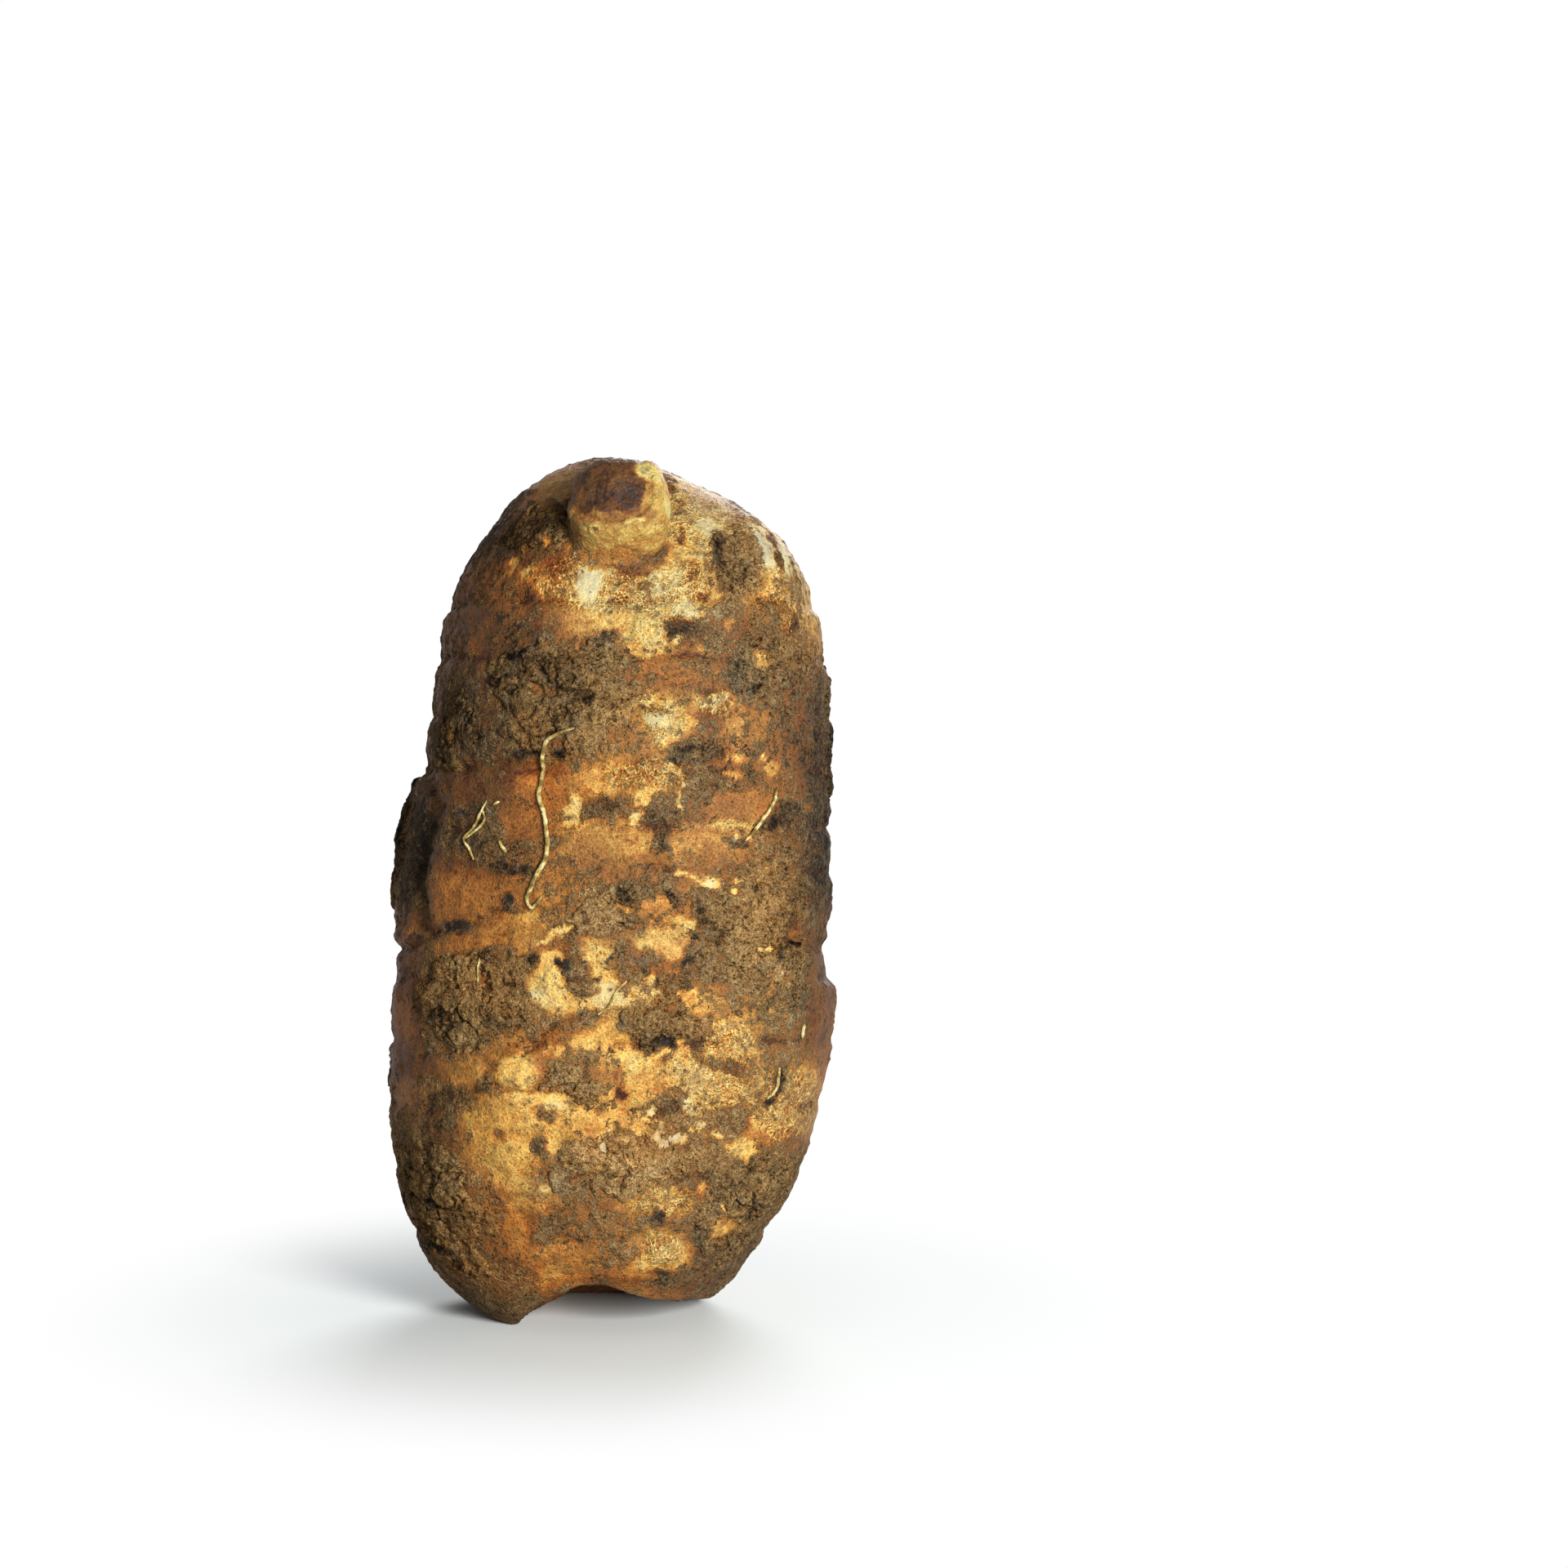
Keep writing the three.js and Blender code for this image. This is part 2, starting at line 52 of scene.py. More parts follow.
# ---------------------------------------------------------------- where things lie at the front
# Patches of skin that blend into each other: centre x and z, half-width, half-height, turn in
# degrees, then how much soil covers the skin, from 0 to 1, and how pale it is, from 0 to about 1
PAINT = [
    # left of the bud: dark soil, yellow skin and pale streaks
    (-9.5, 109, 5, 4.5, 0, 0.9, 0.3), (-8, 115.5, 2.5, 2, 15, 0.25, 0.62),
    (-13, 113.5, 3.5, 2.5, 35, 0.75, 0.4), (-15.5, 108, 4, 3.5, 45, 0.9, 0.22),
    (-11, 104.5, 3.5, 4, 50, 0.3, 0.66), (-12, 100.5, 1.5, 1.5, 0, 0.95, 0.3),
    (-16.5, 101, 4.5, 4, 10, 0.55, 0.42), (-16.5, 94.5, 2, 2.5, 0, 0.35, 0.5),
    # under the bud: the pale scuffed zone, its white spots and a yellow tongue
    (3, 102.5, 10, 4, 0, 0.12, 0.78), (-2.5, 102, 2, 3, -10, 0, 1.05),
    (8.5, 102.5, 2, 2, 0, 0, 1.05), (10, 99.5, 2, 1, -5, 0, 1), (5, 96, 2, 2, 0, 0.05, 0.8),
    (-5.5, 96, 2.5, 3.5, 0, 0.25, 0.6),
    # right of the bud: grit, soil, the crescent of a sleeping bud and olive skin
    (13.5, 112, 4, 5, -30, 0.15, 0.82), (12, 113.5, 2, 1.5, 0, 0.7, 0.5),
    (13.5, 103, 2.5, 2.5, 0, 0.3, 0.72), (17, 106.5, 4, 4, 10, 1, 0.3),
    (21.5, 107.5, 1.5, 3.5, 12, 0.1, 0.85), (25, 101, 2.5, 7.5, 8, 0.35, 0.68),
    (20.5, 100, 2.5, 2, 0, 0.35, 0.6), (16.5, 93, 2.5, 5.5, 0, 0.8, 0.5),
    (23.5, 90.5, 4, 3.5, 0, 0.65, 0.45), (10.5, 96, 2, 1, 0, 0.9, 0.2),
    # chest: soil on the left, white scuffs and orange skin on the right
    (-4.5, 91, 8, 5, 5, 0.9, 0.33), (-17, 83, 8, 5, 0, 0.85, 0.4),
    (-6.5, 84.5, 7.5, 4, 0, 0.8, 0.5), (6, 93.5, 2, 1, 0, 0.2, 0.72),
    (9, 90, 4.5, 2.5, 0, 0.5, 0.5), (7.5, 83.5, 2.5, 3, 20, 0.05, 1),
    (15, 86.5, 2, 1.5, -20, 0.1, 0.9), (20, 83, 3, 3, 0, 0.35, 0.5),
    (26, 81.5, 1.5, 4.5, 0, 0.35, 0.42), (12, 75.5, 3.5, 4.5, 0, 0.8, 0.45),
    (0, 81.5, 5, 2.5, 0, 0.6, 0.5),
    # middle: orange and ochre bands, and dark knots
    (-20.5, 74, 4.5, 2, 0, 0.35, 0.36), (-9, 72, 4.5, 5, 0, 0.25, 0.46),
    (2.5, 76.5, 7, 2.5, 0, 0.15, 0.6), (0, 71.5, 3.5, 1.5, 0, 0.8, 0.4),
    (-17, 67.5, 3.5, 4.5, 0, 0.88, 0.35), (-5, 70.5, 1, 1.5, 10, 0.05, 0.9),
    (-0.5, 67, 6.5, 3, -4, 0.12, 0.56), (6, 69.5, 2, 3.5, 0, 0.9, 0.35),
    (7.5, 76, 2, 3, -40, 0.1, 0.8), (18, 71, 4, 2, 0, 0.4, 0.46),
    (12.5, 66.5, 4.5, 2, 0, 0.2, 0.52), (17, 68.5, 1.5, 0.5, 0, 0.2, 0.75),
    (24, 63, 3.5, 5, 0, 0.8, 0.4),
    # waist: orange on the left, olive and crumbly soil on the right
    (-20, 59.5, 5, 3.5, 0, 0.15, 0.42), (-7, 62, 7, 2.5, 0, 0.5, 0.46),
    (-16.5, 53.5, 6.5, 2, 6, 0.3, 0.42), (1, 56.5, 5.5, 4, 0, 0.8, 0.45),
    (9.5, 61, 4, 3, 0, 0.5, 0.46), (18, 55.5, 4.5, 6, 0, 0.9, 0.45), (7, 53.5, 4, 2, 8, 0.03, 0.68),
    (14, 61, 1, 0.5, 0, 0.1, 0.85), (27.5, 55, 2, 2.5, 0, 0.3, 0.36),
    # belly: soil, with bright ochre and white flakes between, and a red-brown strip
    (-19, 44.5, 8.5, 6.5, 0, 0.88, 0.45), (-28.5, 39.5, 2, 8, 0, 0.45, 0.36),
    (-6.5, 46, 3, 3, 0, 0.03, 0.72), (-1, 50.5, 2, 2, 0, 0.05, 0.68),
    (-4.5, 49, 1.5, 3, 0, 0.85, 0.4), (4, 49.5, 3.5, 2.5, 5, 0.88, 0.4),
    (-0.5, 45, 2.5, 2, -20, 0, 0.97), (-0.5, 41, 2, 2.5, 0, 0.08, 0.66),
    (5, 45.5, 2, 1.5, -30, 0.1, 0.8), (15, 50, 4.5, 3, 0, 0.85, 0.5),
    (7.5, 40.5, 6, 4, 0, 0.95, 0.35), (12.5, 44, 2.5, 1.5, 0, 0.35, 0.56),
    (17, 39, 3, 2.5, 0, 0.2, 0.76), (23.5, 42, 4.5, 6.5, 0, 0.7, 0.5),
    (29.5, 41.5, 1.5, 6, 0, 0.35, 0.42), (-4.5, 41.5, 5, 1, 8, 0.75, 0.45),
    (-8.5, 39, 3.5, 1.5, 25, 0.5, 0.4),
    # hips: a round bulge, bare ochre, gritty yellow and olive soil
    (-13, 35, 3, 3, 0, 0, 0.66), (-19.5, 34.5, 3, 2, 0, 0.35, 0.5),
    (-25, 31.5, 4, 1.5, 0, 0.8, 0.4), (-3, 33.5, 4, 4, 0, 0.9, 0.45),
    (2.5, 35.5, 4.5, 2.5, 0, 0.08, 0.7), (2.5, 31, 3, 1.5, 0, 0.15, 0.64),
    (14.5, 33.5, 5.5, 2.5, -5, 0.15, 0.84), (11.5, 30, 1.5, 1, 0, 0.15, 0.85),
    (16.5, 35, 3, 1, 0, 0.6, 0.5), (9, 29, 1.5, 2, 0, 0.85, 0.4),
    (17.5, 28, 2.5, 1.5, 0, 0.7, 0.45), (24, 29, 5.5, 4.5, 30, 0.18, 0.74),
    (-15.5, 25, 5, 5, 0, 0.08, 0.62), (-8.5, 29.5, 3.5, 2, 0, 0.2, 0.6),
    (-0.5, 27.5, 5.5, 3, -12, 0.15, 0.58), (19, 23.5, 1.5, 1, 0, 0.2, 0.74),
    (8.5, 25.5, 1.5, 0.5, 0, 0.1, 0.8), (2, 21.5, 13.5, 3.5, 0, 0.75, 0.58),
    (-25, 23, 5, 6, 0, 0.92, 0.4), (-14, 21.5, 2.5, 3.5, 0, 0.1, 0.64),
    # foot: soil on both sides, bare ochre between, and the brown rim of the base
    (-22.5, 12.5, 6, 4.5, 0, 0.9, 0.42), (-15.5, 14.5, 6, 3, 0, 0.4, 0.44),
    (-12, 12, 1.5, 1.5, 0, 0.2, 0.46), (-9.5, 12.5, 2, 1.5, 0, 0.85, 0.4),
    (8, 16.5, 3, 1.5, 0, 0.2, 0.66), (-0.5, 10, 4.5, 4, 0, 0.75, 0.45),
    (-6.5, 7.5, 5, 3.5, 0, 0.2, 0.54), (7.5, 9, 3.5, 3, 0, 0.05, 0.72),
    (18.5, 19, 8, 5.5, 45, 1, 0.34), (15.5, 10.5, 5.5, 4, 0, 0.9, 0.4),
    (16, 12.5, 1.5, 1, 15, 0.1, 0.62), (10.5, 4.5, 5, 1.5, 0, 0.75, 0.35),
    (3.5, 5, 2, 1, 0, 0.3, 0.5), (-14.5, 4, 5, 4, 0, 0.75, 0.42),
]

# Smaller patches, each laid over the ones before it, with the same columns
DETAILS = [
    # broad soil on the right, and a dark strip down the right edge that is painted shadow
    (21.5, 90, 5, 7, 5, 0.68, 0.42), (23, 81, 3.8, 6, 0, 0.6, 0.44),
    (14.5, 89.5, 3, 2.6, 0, 0.48, 0.44), (15, 81, 3, 4.5, 0, 0.5, 0.43),
    (16, 75.5, 5, 1.6, 0, 0.75, 0.42), (24, 66, 3, 3, 0, 0.75, 0.36),
    # painted shadow: this dark soil strip down the right edge stands for the shade that a second
    # tuber, standing against this one, casts there
    (30, 72, 2.4, 17, 0, 0.9, 0.27),
    # gritty crown right of the bud
    (13.2, 111, 3.8, 5.6, 20, 0, 0.76),
    # left of the bud
    (-7.5, 115.7, 2.2, 1.5, 10, 0.15, 0.62), (-11.8, 113.2, 0.4, 1.4, -25, 0.2, 0.5),
    (-8.6, 108.8, 0.6, 0.8, -15, 0, 0.85), (-13.1, 105.5, 0.4, 1.5, -30, 0, 0.85),
    (-11.3, 104.3, 1.2, 0.6, 15, 0.05, 0.8), (-8.8, 102.3, 1.1, 1.5, 0, 0.05, 0.78),
    (-11.5, 101, 0.9, 0.9, 0, 0.9, 0.2), (-12.8, 98.8, 2, 1.8, 30, 0.4, 0.5),
    (-5.7, 107, 0.8, 1.5, 0, 0.1, 0.62), (-7.5, 105, 1, 1.5, 0, 0.25, 0.48),
    # the scuffed zone under the bud
    (2, 106.2, 6.5, 1.4, 0, 0.3, 0.52), (3.5, 104.5, 2.5, 0.8, 0, 0.5, 0.36),
    (3.7, 103, 1.5, 0.9, 0, 0.15, 0.5), (2.5, 100.5, 3.4, 2, 0, 0.03, 0.74),
    (-2.5, 103, 1.7, 1.3, 0, 0, 0.98), (-2.6, 100.5, 1.1, 1.5, -10, 0, 0.96),
    (5.5, 96.3, 2.2, 2.3, 0, 0.15, 0.8), (-4, 97.3, 2.5, 1.8, 0, 0.05, 0.72),
    (0, 97.7, 2.8, 1.3, 0, 0, 0.76), (8.7, 102.4, 1.3, 1.8, -20, 0, 0.98),
    (7.3, 103.5, 1, 0.7, 0, 0, 0.92), (10.2, 99, 1.6, 0.6, -8, 0, 0.94),
    (6.5, 107, 1.8, 1, 25, 0.55, 0.42),
    # right of the bud
    (11, 107, 2.5, 1.4, 20, 0.05, 0.76), (12, 104, 1, 0.9, 0, 0.25, 0.5),
    (14, 102.3, 2, 2.6, -10, 0.05, 0.74), (13.5, 101, 0.7, 0.7, 0, 0.3, 0.5),
    (12.8, 115, 3, 1.5, -22, 0.1, 0.62), (15.9, 112.5, 1.4, 1.6, 0, 0, 0.74),
    (13.6, 110.3, 2.4, 1.3, 20, 0, 0.86), (12, 107.8, 2, 1.2, 25, 0, 0.8),
    (10.2, 113.2, 0.6, 1.3, -8, 0.4, 0.55), (10.4, 109.3, 0.4, 0.8, 0, 0.45, 0.45),
    (9.1, 109.2, 0.6, 1.1, 0, 0, 0.72), (19.3, 112.3, 3.3, 1.1, -38, 0.5, 0.6),
    (17.2, 105.3, 2, 3.6, 10, 1, 0.28), (19.7, 109, 2, 3.4, 15, 0.5, 0.68),
    (15.5, 107, 0.8, 2.6, 5, 1, 0.08), (17.5, 103, 2, 1.2, 0, 1, 0.3),
    (22, 107, 0.7, 2.7, 24, 0, 0.86), (24.5, 106.2, 0.5, 2.6, 14, 0, 0.8),
    (23.4, 107.4, 0.3, 2.7, 20, 0.5, 0.1), (23, 102.8, 1.6, 2, 0, 0.15, 0.66),
    (20.2, 100.3, 1.6, 1, 0, 0.2, 0.66), (24.8, 99.5, 1, 3.5, 5, 0.2, 0.6),
    (28, 98, 1.6, 6.5, 9, 0.42, 0.7), (25.7, 97, 0.5, 0.9, 0, 1, 0.05),
    (21.5, 92, 1.6, 1.2, -20, 0.2, 0.68), (9.6, 94.8, 0.9, 0.5, 0, 0.1, 0.85),
    (13.3, 93.3, 1.2, 0.7, 0, 0.15, 0.6), (4.8, 92.9, 1.6, 0.7, -10, 0.05, 0.8),
    (8.5, 90.3, 4, 2.2, 0, 0.38, 0.46), (18, 90.5, 1.3, 3, 0, 0.95, 0.35),
    (20.3, 88, 1.3, 0.5, 30, 0.95, 0.1), (17, 97, 0.7, 0.8, 0, 0.2, 0.66),
    # chest, left
    (-16.3, 94.3, 1.3, 2.2, 10, 0.4, 0.45), (-13.9, 94, 0.7, 1, 0, 0.35, 0.48),
    (-9.7, 88, 1.2, 0.9, -20, 0.25, 0.5), (-7.4, 90.4, 0.7, 0.5, 0, 0.2, 0.62),
    (-12.5, 83.5, 1.2, 0.6, 0, 0.25, 0.56), (-10.5, 82, 3, 1.3, 0, 0.7, 0.5),
    (-11.2, 79, 2.3, 0.45, 0, 1, 0.03), (-6.7, 78.9, 1.3, 0.7, 0, 1, 0),
    (-8.2, 76.4, 2.6, 0.9, 5, 0.25, 0.33), (-11.3, 75, 1.6, 1.5, 0, 0.1, 0.5),
    (-6.8, 72.8, 1.5, 1.4, 0, 0.2, 0.4), (-10.5, 72.5, 1.5, 1.2, 0, 0.25, 0.45),
    (-21.5, 74.8, 2.7, 1.6, 0, 0.25, 0.38), (-15.5, 76.3, 1.8, 1, 0, 0.45, 0.36),
    (-1.5, 75, 2.7, 2, 0, 0.05, 0.6), (2.5, 77, 1.6, 1.2, 0, 0.1, 0.6),
    (-13, 92.3, 0.9, 0.8, 0, 1, 0.03), (-12, 93.1, 0.5, 0.4, 0, 1, 0.03),
    (-15.8, 89.1, 0.8, 0.7, 0, 1, 0.03), (-2.5, 86.6, 1, 0.6, 30, 1, 0.05),
    # chest, right
    (7.5, 83.6, 2.2, 1.3, 0, 0, 0.96), (7.4, 81.4, 1.4, 1, 0, 0, 0.9),
    (7.5, 85.7, 1.4, 0.8, 0, 0.05, 0.86), (11, 83.3, 1, 0.8, 10, 0.05, 0.84),
    (15.2, 86.7, 1.7, 0.6, 20, 0, 0.92), (14.9, 85.5, 0.6, 0.6, 0, 0, 0.85),
    (18, 84, 1.6, 2.6, 0, 0.25, 0.52), (21, 83.5, 1.4, 2.2, 0, 0.35, 0.48),
    (12, 79, 3, 1.6, 0, 0.95, 0.32), (11, 79.7, 1.6, 0.3, 0, 1, 0), (9, 78.2, 0.9, 0.8, 0, 1, 0.2),
    (17, 76, 1.3, 0.5, 0, 0.05, 0.68), (17.7, 78.2, 1, 0.6, 0, 0.1, 0.64),
    (21.8, 78.5, 0.4, 0.5, 0, 0, 0.8), (22.8, 76.8, 1, 1, 0, 0.15, 0.6),
    (9, 76.9, 1.2, 0.4, -40, 0, 0.9), (10.3, 74.8, 0.9, 0.3, -10, 0, 0.85),
    (9.7, 72.3, 0.3, 1.4, 5, 0, 0.82), (5.2, 73.2, 1.2, 1.8, -35, 0, 0.64),
    (0.8, 76, 1, 1.6, 0, 0, 0.7), (4.3, 70.2, 1.2, 0.5, 25, 0, 0.86),
    (3.6, 69.3, 0.35, 0.8, 0, 0, 0.9), (2.8, 66.8, 3, 2, 0, 0, 0.64),
    (7, 68.8, 1.2, 2, 20, 1, 0.15), (5.8, 70.8, 0.9, 0.7, 0, 1, 0.3),
    (7.5, 65.8, 0.9, 0.6, 0, 1, 0.12), (13, 66.5, 3, 1, 0, 0.1, 0.52),
    (17.5, 71.3, 4, 1.6, 0, 0.25, 0.49), (17.5, 68.8, 2.2, 0.6, 5, 0.05, 0.76),
    (17.8, 67.2, 0.22, 0.5, 0, 0, 1.05), (18, 66.4, 1.6, 0.5, -10, 1, 0.08),
    (22.5, 69.3, 2, 0.8, 25, 1, 0.15), (25.5, 70.5, 1.4, 1.8, 0, 0.9, 0.15),
    (28, 71.3, 0.5, 0.5, 0, 0.05, 0.5),
    # waist, left
    (-20.5, 59.5, 4.3, 2.6, 5, 0.1, 0.44), (-27.8, 54.5, 0.9, 1.6, 0, 0.2, 0.48),
    (-21.5, 54.5, 2, 0.8, 5, 1, 0.06), (-19, 52.8, 5, 1.1, 10, 0.1, 0.45),
    (-13, 54, 4, 1.2, 12, 0.1, 0.52), (-12.3, 52, 1, 0.9, 0, 0.1, 0.55),
    (-14, 58, 0.8, 1, 0, 1, 0.08), (-12, 56, 2.5, 0.8, 10, 0.15, 0.56),
    (-27.5, 66, 2.5, 9, 0, 1, 0.16), (-16, 65, 3, 2.4, 0, 0.95, 0.3),
    (-13.5, 63, 2.8, 0.6, -8, 1, 0.08), (-12.5, 69.5, 2.5, 2.5, 0, 0.15, 0.46),
    (-3.5, 67.8, 3.2, 1.6, 5, 0.05, 0.6), (-4.6, 71, 0.5, 2, 8, 0, 0.86),
    (-5.4, 69.5, 1.2, 0.6, 20, 0, 0.82), (-7.8, 66.6, 1.2, 0.9, 0, 0.95, 0.3),
    (-11.5, 66, 1.5, 1.2, 0, 0.85, 0.4), (-6.5, 54.2, 2.2, 0.5, 15, 0.05, 0.72),
    (-9, 53, 1.3, 0.35, 10, 0, 0.78), (-7.8, 50.5, 1.5, 0.9, 10, 0.05, 0.7),
    (-6, 52.3, 0.9, 1, 0, 0.2, 0.38), (-10.5, 50.3, 0.8, 0.6, 0, 1, 0.05),
    (-3.3, 55.8, 0.5, 0.9, 0, 1, 0), (-8.2, 46.2, 2.5, 2.6, 0, 0, 0.76),
    (-6.3, 49.2, 1.3, 0.6, -20, 1, 0.1), (-4.2, 47.7, 1.6, 2.7, 10, 1, 0.42),
    (-1.4, 51, 1.6, 1, -5, 0, 0.7), (-1, 47.9, 1.3, 1, 40, 0, 0.74),
    (-2.5, 45.9, 1.3, 0.7, 15, 0.95, 0.42),
    # waist, right
    (7.3, 53.6, 3.6, 1.3, 12, 0, 0.7), (11, 54.8, 0.9, 0.9, 0, 0, 0.84),
    (9, 51.3, 1, 1, 0, 0, 0.68), (2.2, 57.2, 1.4, 0.6, -20, 0.05, 0.6),
    (2, 58.8, 1.5, 0.6, -35, 1, 0.05), (2, 55.2, 0.5, 0.3, 0, 1, 0),
    (6.5, 57.6, 2.5, 1.5, 10, 0.15, 0.53), (9, 59.3, 1.7, 0.6, -45, 1, 0.12),
    (11, 61.8, 1.8, 0.3, -25, 0, 0.8), (14, 60.8, 0.9, 0.5, 10, 0, 0.92),
    (17.8, 59.6, 0.6, 0.6, 0, 0, 0.88), (18, 61.3, 0.9, 0.4, 0, 0.1, 0.76),
    (21.8, 62, 1.3, 1.3, 0, 0.35, 0.68), (12.8, 57, 0.7, 2.2, 10, 1, 0.15),
    (21.8, 51.6, 1.3, 0.6, 5, 0.05, 0.74), (26.5, 53, 1.8, 1.3, 0, 0.15, 0.42),
    (25.6, 52.3, 0.9, 0.6, -30, 1, 0), (11.3, 50.2, 0.7, 0.6, 0, 1, 0.05),
    (7.5, 48.8, 2, 1, 10, 0.3, 0.42),
    # belly
    (6, 47.2, 1, 0.6, 40, 0, 0.8), (4, 46, 0.6, 0.5, 0, 0, 0.85),
    (5.5, 45.3, 1.2, 0.6, 20, 0.05, 0.78), (-0.3, 46.8, 1.4, 0.6, 20, 0, 0.87),
    (0.6, 45.2, 2, 1.4, -20, 0, 0.88), (-1.2, 44.4, 1.8, 0.9, 0, 0, 0.84),
    (11.5, 44.8, 1.6, 0.9, 0, 0.1, 0.62), (13, 43.3, 2, 1, 0, 0.2, 0.56),
    (7.8, 38.8, 1.4, 0.8, -15, 1, 0.03), (-18, 46.4, 0.22, 0.22, 0, 0, 1.05),
    (-10.2, 45.1, 0.28, 0.28, 0, 0, 1.05), (-16.5, 44.5, 0.25, 0.5, -25, 0, 1.05),
    (-12.2, 37.2, 2.5, 0.9, 10, 0, 0.6), (-12.9, 34.4, 4, 3.3, 0, 0.65, 0.38),
    (-12.9, 34.5, 2.9, 2.5, 0, 0, 0.69), (-19.3, 34.5, 2.4, 1.2, 0, 0.1, 0.5),
    (-16.6, 33.5, 0.4, 2, 0, 0.9, 0.3), (-17.3, 32.5, 0.8, 0.7, 0, 1, 0.05),
    (-10.5, 31, 4, 0.8, 5, 0, 0.66), (-7, 29.9, 2, 1, -15, 0, 0.76),
    (-28.5, 41, 1.5, 4, 0, 0.2, 0.52), (-28.2, 31.5, 1.3, 2.4, 0, 0.2, 0.5),
    (-23.5, 42, 1, 1.6, 0, 1, 0.08), (-22, 31, 3, 1.2, 10, 1, 0.1),
    (-8.5, 38.6, 2, 0.9, 30, 0.2, 0.42), (-7.5, 37.4, 1.3, 0.8, 0, 0.05, 0.66),
    (-3, 38.5, 2.5, 1, -10, 0.1, 0.62), (-2.5, 42.3, 1.5, 0.9, 0, 1, 0.35),
    (-2.7, 36.5, 0.9, 0.9, 0, 0.9, 0.4), (1.8, 33, 0.9, 2.3, 10, 0.2, 0.42),
    (2.2, 31.5, 0.7, 0.7, 0, 0.2, 0.15), (4.5, 34, 2.3, 2.3, 0, 0, 0.7),
    (4, 36.5, 2.6, 0.9, -15, 0, 0.74), (2, 38.8, 2, 0.6, 0, 0.1, 0.56),
    (7.8, 37.2, 1.8, 0.5, 10, 0.05, 0.74), (10.3, 38, 0.8, 1.6, 0, 0.05, 0.68),
    (12.3, 38.2, 1, 1.4, 0, 0.9, 0.4), (17.3, 40.3, 1.9, 1.1, -15, 0, 0.74),
    (15.5, 38.2, 2, 1.4, 20, 0.05, 0.68), (18.8, 38.5, 1.2, 1.4, 0, 0, 0.74),
    (12.3, 33.9, 4.2, 1.5, -8, 0, 0.73), (10, 35.7, 1.5, 0.8, -20, 0, 0.78),
    (16.5, 35, 2.6, 0.6, -12, 0.75, 0.5), (28.8, 41, 0.9, 3.5, 5, 0.25, 0.38),
    # hips
    (-17, 28, 3, 1.4, 5, 0.05, 0.58), (-16, 25, 2.5, 2, 0, 0.05, 0.6),
    (-13.8, 22.6, 2.6, 2.4, 0, 0, 0.66), (-15.2, 25.8, 0.6, 0.9, 0, 0.8, 0.35),
    (-7, 26.5, 2, 1.5, 0, 0.1, 0.6), (-8.8, 28.5, 1, 0.7, 0, 0.9, 0.3),
    (-2.8, 28, 2.3, 1.4, -15, 0, 0.63), (-7.8, 24.2, 1, 0.8, 0, 0.1, 0.66),
    (-9.7, 24, 1, 1.2, 0, 0.9, 0.4), (-0.6, 23.4, 0.6, 0.6, 0, 0, 0.85),
    (-8.6, 18.3, 0.7, 0.5, 0, 0, 0.75), (12.5, 30.4, 1.6, 0.8, 0, 0, 0.76),
    (6.3, 28.8, 1, 0.7, 30, 0, 0.82), (7.4, 27.2, 0.7, 0.4, 45, 0, 0.8),
    (9, 25.2, 1.2, 0.5, 15, 0, 0.88), (12.7, 27.3, 0.9, 0.6, 0, 0, 0.76),
    (15.5, 26, 1, 0.7, 30, 0, 0.76), (18.8, 23.7, 1.6, 1.1, 0, 0.05, 0.8),
    (8.5, 29, 1.3, 1.8, 0, 1, 0.25), (17.5, 27.8, 2.2, 1.5, 0, 0.9, 0.35),
    (22.5, 27.3, 3, 1.8, 15, 0.05, 0.66), (25.5, 30.5, 2, 3, -20, 0.05, 0.68),
    (27.5, 33.5, 1.2, 2, -10, 0.1, 0.62), (23.7, 33.3, 0.4, 1.8, -15, 1, 0),
    (22.3, 30.2, 0.7, 0.8, 0, 1, 0.06),
    # foot
    (-15.5, 4, 4.5, 3.5, 0, 0.9, 0.42), (7.5, 17, 2.4, 1.6, 0, 0.05, 0.72),
    (7, 14.2, 1.3, 0.8, 0, 1, 0.06), (13.5, 18.4, 0.8, 0.6, 0, 0.1, 0.62),
    (16.3, 15.5, 0.3, 0.7, 15, 0, 0.8), (15.5, 12.5, 1.1, 0.7, 10, 0.1, 0.66),
    (8, 9, 2.7, 1.7, 5, 0, 0.72), (4.7, 6.9, 1.2, 0.9, 0, 0.05, 0.72),
    (4.5, 5, 1.5, 0.6, 0, 0.15, 0.56), (7.5, 5.3, 1, 0.6, 0, 1, 0.12),
    (-7, 8.5, 3.5, 1.8, 0, 0.3, 0.53), (-3.5, 5.5, 2.5, 1, 10, 0.35, 0.5),
    (-8, 4, 1.5, 2, 20, 0.2, 0.5), (-12.8, 12.8, 1.6, 1.6, 0, 0.05, 0.47),
    (-11, 16, 3, 1, -5, 0.15, 0.5), (-16.5, 17.5, 3, 1.5, -20, 0.25, 0.46),
    (-23.5, 10, 2.5, 0.5, -15, 1, 0), (-20.5, 8, 0.8, 1.2, 0, 1, 0.05),
]

